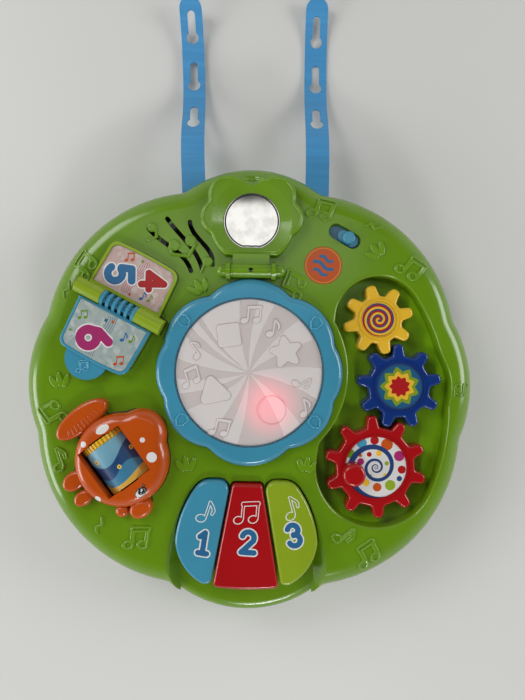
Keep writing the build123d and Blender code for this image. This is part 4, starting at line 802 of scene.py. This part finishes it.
# key prints: a plain number with a white edge, and a line note over it
keyPrints = {
    "left": {"number": 1, "at": (-37.6, -131.6, -8), "motif": quaver, "noteAt": (-36.5, -103.6, -18)},
    "middle": {"number": 2, "at": (1.5, -130.3, -3), "motif": beamed, "noteAt": (0.5, -104.0, -4)},
    "right": {"number": 3, "at": (41.2, -123.6, 12), "motif": quaver, "noteAt": (37.5, -99.8, 16)},
}
keyLook = {"noteSize": 1.2, "noteLine": 0.75, "stroke": 4.4, "size": 1.12, "edge": 1.1}
for name, key in keyPrints.items():
    carrier = (name + "_key", "key_" + name)
    note = lined(sized(key["motif"](), keyLook["noteSize"]), keyLook["noteLine"])
    raised(name + "KeyNote", note, key["noteAt"], *carrier, inks["paperWhite"], {**printLook, "cell": 0.25})
    digit = sized(numeral(key["number"], keyLook["stroke"]), keyLook["size"])
    raised(name + "KeyNumberEdge", grown(digit, keyLook["edge"]), key["at"], *carrier, inks["paperWhite"],
           printLook)
    raised(name + "KeyNumber", digit, key["at"], *carrier, inks["ink"], overLook)


# book prints in the book's own directions: along the spine, then away from it
def onBook(along, out, turn):
    c, s = math.cos(math.radians(book["turn"])), math.sin(math.radians(book["turn"]))
    return book["x"] + c * along - s * out, book["y"] + s * along + c * out, book["turn"] + turn


def wave(length, swing):
    return [(length * (i / 12 - 0.5), swing * math.sin(i / 12 * 2 * math.pi)) for i in range(13)]


pages = {"page": ("page_label", "housing"), "leaf": ("leaf_label", "leaf")}
bookPrints = {
    "pageFour": (numeral(4, 5.0), 1.24, 14.6, 32.5, -63, "red"),
    "pageFive": (numeral(5, 5.2), 1.32, -13.8, 24.5, -63, "ink"),
    "pageNoteA": (beamed(), 0.5, -13.0, 42.0, 24, "orange"),
    "pageNoteB": (quaver(), 0.5, 12.5, 17.0, 10, "ink"),
    "pageNoteC": (quaver(), 0.42, 19.0, 18.0, 10, "leafGreen"),
    "pageDotA": (disc(1.3), 1.0, -1.0, 43.5, 0, "leafGreen"),
    "pageDotB": (disc(1.3), 1.0, 2.0, 12.8, 0, "orange"),
    "leafSix": (numeral(6, 5.4), 1.5, -6.0, -34.5, -63, "magenta"),
    "leafNoteA": (beamed(), 0.5, -24.0, -21.0, 24, "leafGreen"),
    "leafNoteB": (quaver(), 0.52, 16.0, -22.0, 10, "ink"),
    "leafNoteC": (quaver(), 0.45, 23.0, -20.5, 10, "leafGreen"),
    "leafNoteD": (beamed(), 0.52, 22.0, -42.0, 24, "orange"),
    "leafDotA": (disc(1.5), 1.0, -4.0, -16.5, 0, "teal"),
    "leafDotB": (disc(1.4), 1.0, 2.0, -15.0, 0, "orange"),
    "leafDotC": (disc(1.2), 1.0, -27.5, -38.0, 0, "leafGreen"),
}
edgedPrints = ("pageFour", "pageFive", "leafSix")
for name, (flat, size, along, out, turn, ink) in bookPrints.items():
    shape, place = sized(flat, size), onBook(along, out, turn)
    if name in edgedPrints:
        raised(name + "Edge", grown(shape, 1.0), place, *pages[name[:4]], inks["paperWhite"], printLook)
    raised(name, shape, place, *pages[name[:4]], inks[ink], overLook)
waveLook = {**printLook, "rise": 0.05, "cell": 0.2, "reach": 20.0}
waves = {"count": 5, "apart": 1.9, "swing": 1.8, "width": 0.4, "turn": 84}
waveSets = {"page": (33.0, -4.0, 28.5, "magenta"), "leaf": (38.0, -5.5, -30.5, "teal")}
for k in range(waves["count"]):
    for page, (length, first, out, ink) in waveSets.items():
        line = stroke(wave(length, waves["swing"]), waves["width"])
        place = onBook(first + waves["apart"] * k, out, waves["turn"])
        raised("%sWave%d" % (page, k), line, place, *pages[page], inks[ink], waveLook)

# fish: painted spots and an eye laid over the body
fishLook = {"rise": 0.12, "edge": 0.2, "sink": 0.3, "cell": 0.35, "reach": 9.0}
fishSpots = {"fishSpotA": (disc(4.4), -81.8, -56.0, 0), "fishSpotB": (disc(2.2), -90.0, -41.4, 0),
             "fishSpotC": (disc(2.6), -140.6, -46.2, 0), "fishSpotD": (oval(6.2, 3.4), -124.4, -33.0, 32),
             "fishSpotE": (disc(2.9), -128.0, -93.4, 0)}
for name, (shape, x, y, turn) in fishSpots.items():
    raised(name, shape, (x, y, turn), "fish_cover", "housing", inks["paperWhite"], fishLook)
fishEye = {"at": (-90.6, -86.2, 42), "layers": (
    ("Lid", merged(oval(6.0, 3.7), stroke([(3.6, 2.6), (6.6, 4.4)], 0.9),
                   stroke([(4.8, 1.6), (7.4, 2.6)], 0.8)), "black", 0.10),
    ("White", oval(5.0, 2.9, -0.4, 0.0), "paperWhite", 0.16),
    ("Black", oval(3.4, 2.8, 0.9, 0.1), "black", 0.22),
    ("Shine", merged(oval(1.7, 0.9, 1.7, 0.9, 30), disc(0.5, -0.5, -1.0)), "paperWhite", 0.28))}
for name, shape, ink, rise in fishEye["layers"]:
    raised("fishEye" + name, shape, fishEye["at"], "fish_cover", "housing", inks[ink],
           {**fishLook, "rise": rise, "cell": 0.22})

# soft ridges across the tail
ridgeLook = {"rise": 0.5, "edge": 0.7, "sink": 0.4, "cell": 0.35, "reach": 20.0}
tailRidges = merged(*[stroke([(u, -7.6 + 0.012 * u * u), (u * 0.9, -1.5)], 1.5) for u in range(-16, 17, 4)])
raised("fishTailRidges", tailRidges, (-145.6, -26.1, 39), "fish_cover", "housing", finishes["orange"],
       ridgeLook)

# book tab: an embossed note, in a lighter sky blue for a painted highlight
raised("tabNote", lined(sized(beamed(), 0.6), 1.2), onBook(-4.0, -61.0, 30), "book_leaf", "leaf",
       finishes["reliefSky"], {**reliefLook, "rise": 0.7, "cell": 0.3, "edge": 0.6})
search = {"directions": 144, "step": 0.2}


# the outline of a node seen from above, out from a point of it, cut straight at the front
def edgeOf(node, x, y, reach, front):
    points = []
    for k in range(search["directions"]):
        turn = math.radians(k * 360 / search["directions"])
        c, s = math.cos(turn), math.sin(turn)
        away = reach
        while surfaceHeight(node, x + c * away, y + s * away) is None:
            away -= search["step"]
        away = min(away, front / max(1e-6, -s)) if s < 0 else away
        points.append((c * away, s * away))
    return plate(points)


# flap: a bead along the edge of the lid in a lighter green for a painted highlight, and a dark line round its
# mirror, painted shade in the gap
flap = {"x": 0.0, "y": 150.0, "reach": 56.0, "front": 29.5, "inset": -2.4, "bead": 2.0,
        "glass": 30.0, "seamShadeInset": -0.95, "seamShade": 1.3}
beadLook = {"rise": 0.8, "edge": 0.9, "sink": 0.4, "cell": 0.5, "reach": 54.0}
seamShadeLook = {"rise": 0.05, "edge": 0.3, "sink": 0.2, "cell": 0.35, "reach": 28.0}
flapAt = (flap["x"], flap["y"], 0)
lid = edgeOf("mirror_flap", flap["x"], flap["y"], flap["reach"], flap["front"])
raised("flapBead", lined(grown(lid, flap["inset"]), flap["bead"]), flapAt, "mirror_flap", "flap",
       finishes["reliefGreen"], beadLook)
glass = edgeOf("mirror", flap["x"], flap["y"], flap["glass"], flap["glass"])
raised("mirrorSeam", lined(grown(glass, flap["seamShadeInset"]), flap["seamShade"]), flapAt, "mirror", "flap",
       finishes["blackMoulded"], seamShadeLook)

# dark lines where the drum ring meets the head, and where pieces stand on the panel: painted shade in the
# gaps and painted contact shadow
drumAt = (drum["x"], drum["y"], 0)
seamShade = {"head": 64.1, "headWidth": 1.0, "gap": 0.35, "width": 1.1, "ringReach": 96.0}
onHead("headSeam", lined(disc(seamShade["head"]), seamShade["headWidth"]), drumAt, "deepSky",
       {**seamShadeLook, "cell": 0.4, "reach": 66.0})
rim = edgeOf("drum_ring", drum["x"], drum["y"], seamShade["ringReach"], seamShade["ringReach"])
raised("ringSeam", lined(grown(rim, seamShade["gap"]), seamShade["width"]), drumAt, "top_housing", "housing",
       finishes["blackMoulded"], {**seamShadeLook, "cell": 0.45, "reach": seamShade["ringReach"]})
seats = {"fish_cover": (-109.5, -60.5, 45.0), "book_base": (-113.5, 73.5, 78.0)}  # middle and reach
for node, (x, y, reach) in seats.items():
    foot = edgeOf(node, x, y, reach, reach)
    raised(node + "Seam", lined(grown(foot, seamShade["gap"]), seamShade["width"]), (x, y, 0), "top_housing", "housing",
           finishes["blackMoulded"], {**seamShadeLook, "cell": 0.45, "reach": reach + 3.0}, level=panelLevel)

# guard plate in the slide switch's recess, in a darker sky blue that is painted shade from the recess
raised("switchGuard", stroke([(-8.2, 0.0), (8.2, 0.0)], 12.8), (82.0, 139.0, -30), "top_housing", "housing",
       finishes["deepSky"], {**seamShadeLook, "rise": 0.15, "reach": 16.0}, level=66.0)

# badge: three plain wavy bars
shortBar = stroke(wave(11.0, 1.2), 2.6)
bars = merged(stroke(wave(17.0, 1.4), 3.0), moved(shortBar, 0, 6.4), moved(shortBar, 0, -6.4))
raised("badgeBars", bars, (badge["x"], badge["y"], -24), "badge_label", "housing", inks["ink"], printLook)
print("prints done")

# smooth shading over the moulded radii
for node in nodes.values():
    node.data.shade_smooth()
    node.data.set_sharp_from_angle(angle=math.radians(creases["node"]))

# rubber domes under the head and the keys, each swapped for a copy of its own on the housing: joint, then
# what is left of the height
domes = {"drum_domes": ("drum_press", 0.70), "left_key_dome": ("left_key_press", 0.62),
         "middle_key_dome": ("middle_key_press", 0.62), "right_key_dome": ("right_key_press", 0.62)}
for name, (joint, keep) in domes.items():
    dome = bpy.data.objects.new(name + "_soft", nodes[name].data.copy())
    bpy.context.scene.collection.objects.link(dome)
    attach(dome, "housing")
    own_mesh(dome)
    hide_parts(name)
print("soft domes:", len(domes))

# floor, soft light and camera
stage = {"half": 1.5, "below": -0.0002, "floorColour": (0.62, 0.62, 0.60),
         "overhead": 0.06, "around": 0.85, "aroundTo": 0.05, "overheadFrom": 0.90}


def floorFinish():
    paint = Paint("paleLaminate", {"IOR": 1.45, "Specular IOR Level": 0.3})
    cloud = paint.noise(2.2, 2.0)
    return paint.finish(paint.layer(cloud, *shades(stage["floorColour"], 0.03)), 0.50 + cloud * 0.1)


half = stage["half"]
floorMesh = bpy.data.meshes.new("floor")
floorCorners = [(x * half, y * half, stage["below"]) for x, y in ((-1, -1), (1, -1), (1, 1), (-1, 1))]
floorMesh.from_pydata(floorCorners, [], [(0, 1, 2, 3)])
floorMesh.materials.append(floorFinish())
floor = bpy.data.objects.new("floor", floorMesh)
bpy.context.scene.collection.objects.link(floor)

# the room is pale at eye level and dimmer straight overhead
world = bpy.data.worlds.new("softRoom")
world.use_nodes = True
room = world.node_tree
sky = room.nodes["Background"]
way = room.nodes.new("ShaderNodeSeparateXYZ")
room.links.new(room.nodes.new("ShaderNodeTexCoord").outputs["Generated"], way.inputs[0])
dim = room.nodes.new("ShaderNodeMapRange")
for slot, key in enumerate(("aroundTo", "overheadFrom", "around", "overhead"), 1):
    dim.inputs[slot].default_value = stage[key]
room.links.new(way.outputs["Z"], dim.inputs[0])
room.links.new(dim.outputs[0], sky.inputs["Strength"])
sky.inputs["Color"].default_value = (1.0, 1.0, 0.99, 1)
bpy.context.scene.world = world

lamps = {
    "key": {"at": (-0.85, 0.70, 1.00), "size": (0.6, 0.6), "watts": 6.4, "aim": (0.0, 0.02, 0.05)},
    "left": {"at": (-1.30, -0.35, 0.50), "size": (0.8, 0.5), "watts": 8.5, "aim": (0.0, 0.0, 0.05)},
    "right": {"at": (1.20, 0.20, 0.62), "size": (0.7, 0.5), "watts": 7.4, "aim": (0.0, 0.0, 0.05)},
    "front": {"at": (0.10, -1.02, 0.72), "size": (0.30, 0.12), "watts": 4.2, "aim": (0.0, 0.0, 0.05)},
    "ceiling": {"at": (-0.05, 0.345, 1.15), "size": (0.70, 0.25), "watts": 0.56, "aim": (-0.05, 0.345, 0.0)},
}
for name, lamp in lamps.items():
    light = bpy.data.lights.new(name, "AREA")
    light.shape = "RECTANGLE"
    light.size, light.size_y = lamp["size"]
    light.energy = lamp["watts"]
    holder = bpy.data.objects.new(name, light)
    holder.location = lamp["at"]
    holder.rotation_euler = (Vector(lamp["aim"]) - Vector(lamp["at"])).to_track_quat("-Z", "Y").to_euler()
    bpy.context.scene.collection.objects.link(holder)

shot = {"at": (11.3, 37.3, 534.0), "roll": 1.0, "focal": 526.0, "frame": 700.0, "sensor": 36.0}
camera = bpy.data.cameras.new("camera")
camera.sensor_width = shot["sensor"]
camera.lens = shot["sensor"] * shot["focal"] / shot["frame"]
camera.clip_start = 0.01
eye = bpy.data.objects.new("camera", camera)
eye.location = Vector(shot["at"]) * mm
eye.rotation_euler = (0, 0, math.radians(shot["roll"]))
bpy.context.scene.collection.objects.link(eye)
bpy.context.scene.camera = eye
bpy.context.scene.view_settings.view_transform = "Standard"
print("stage, lamps and camera set")
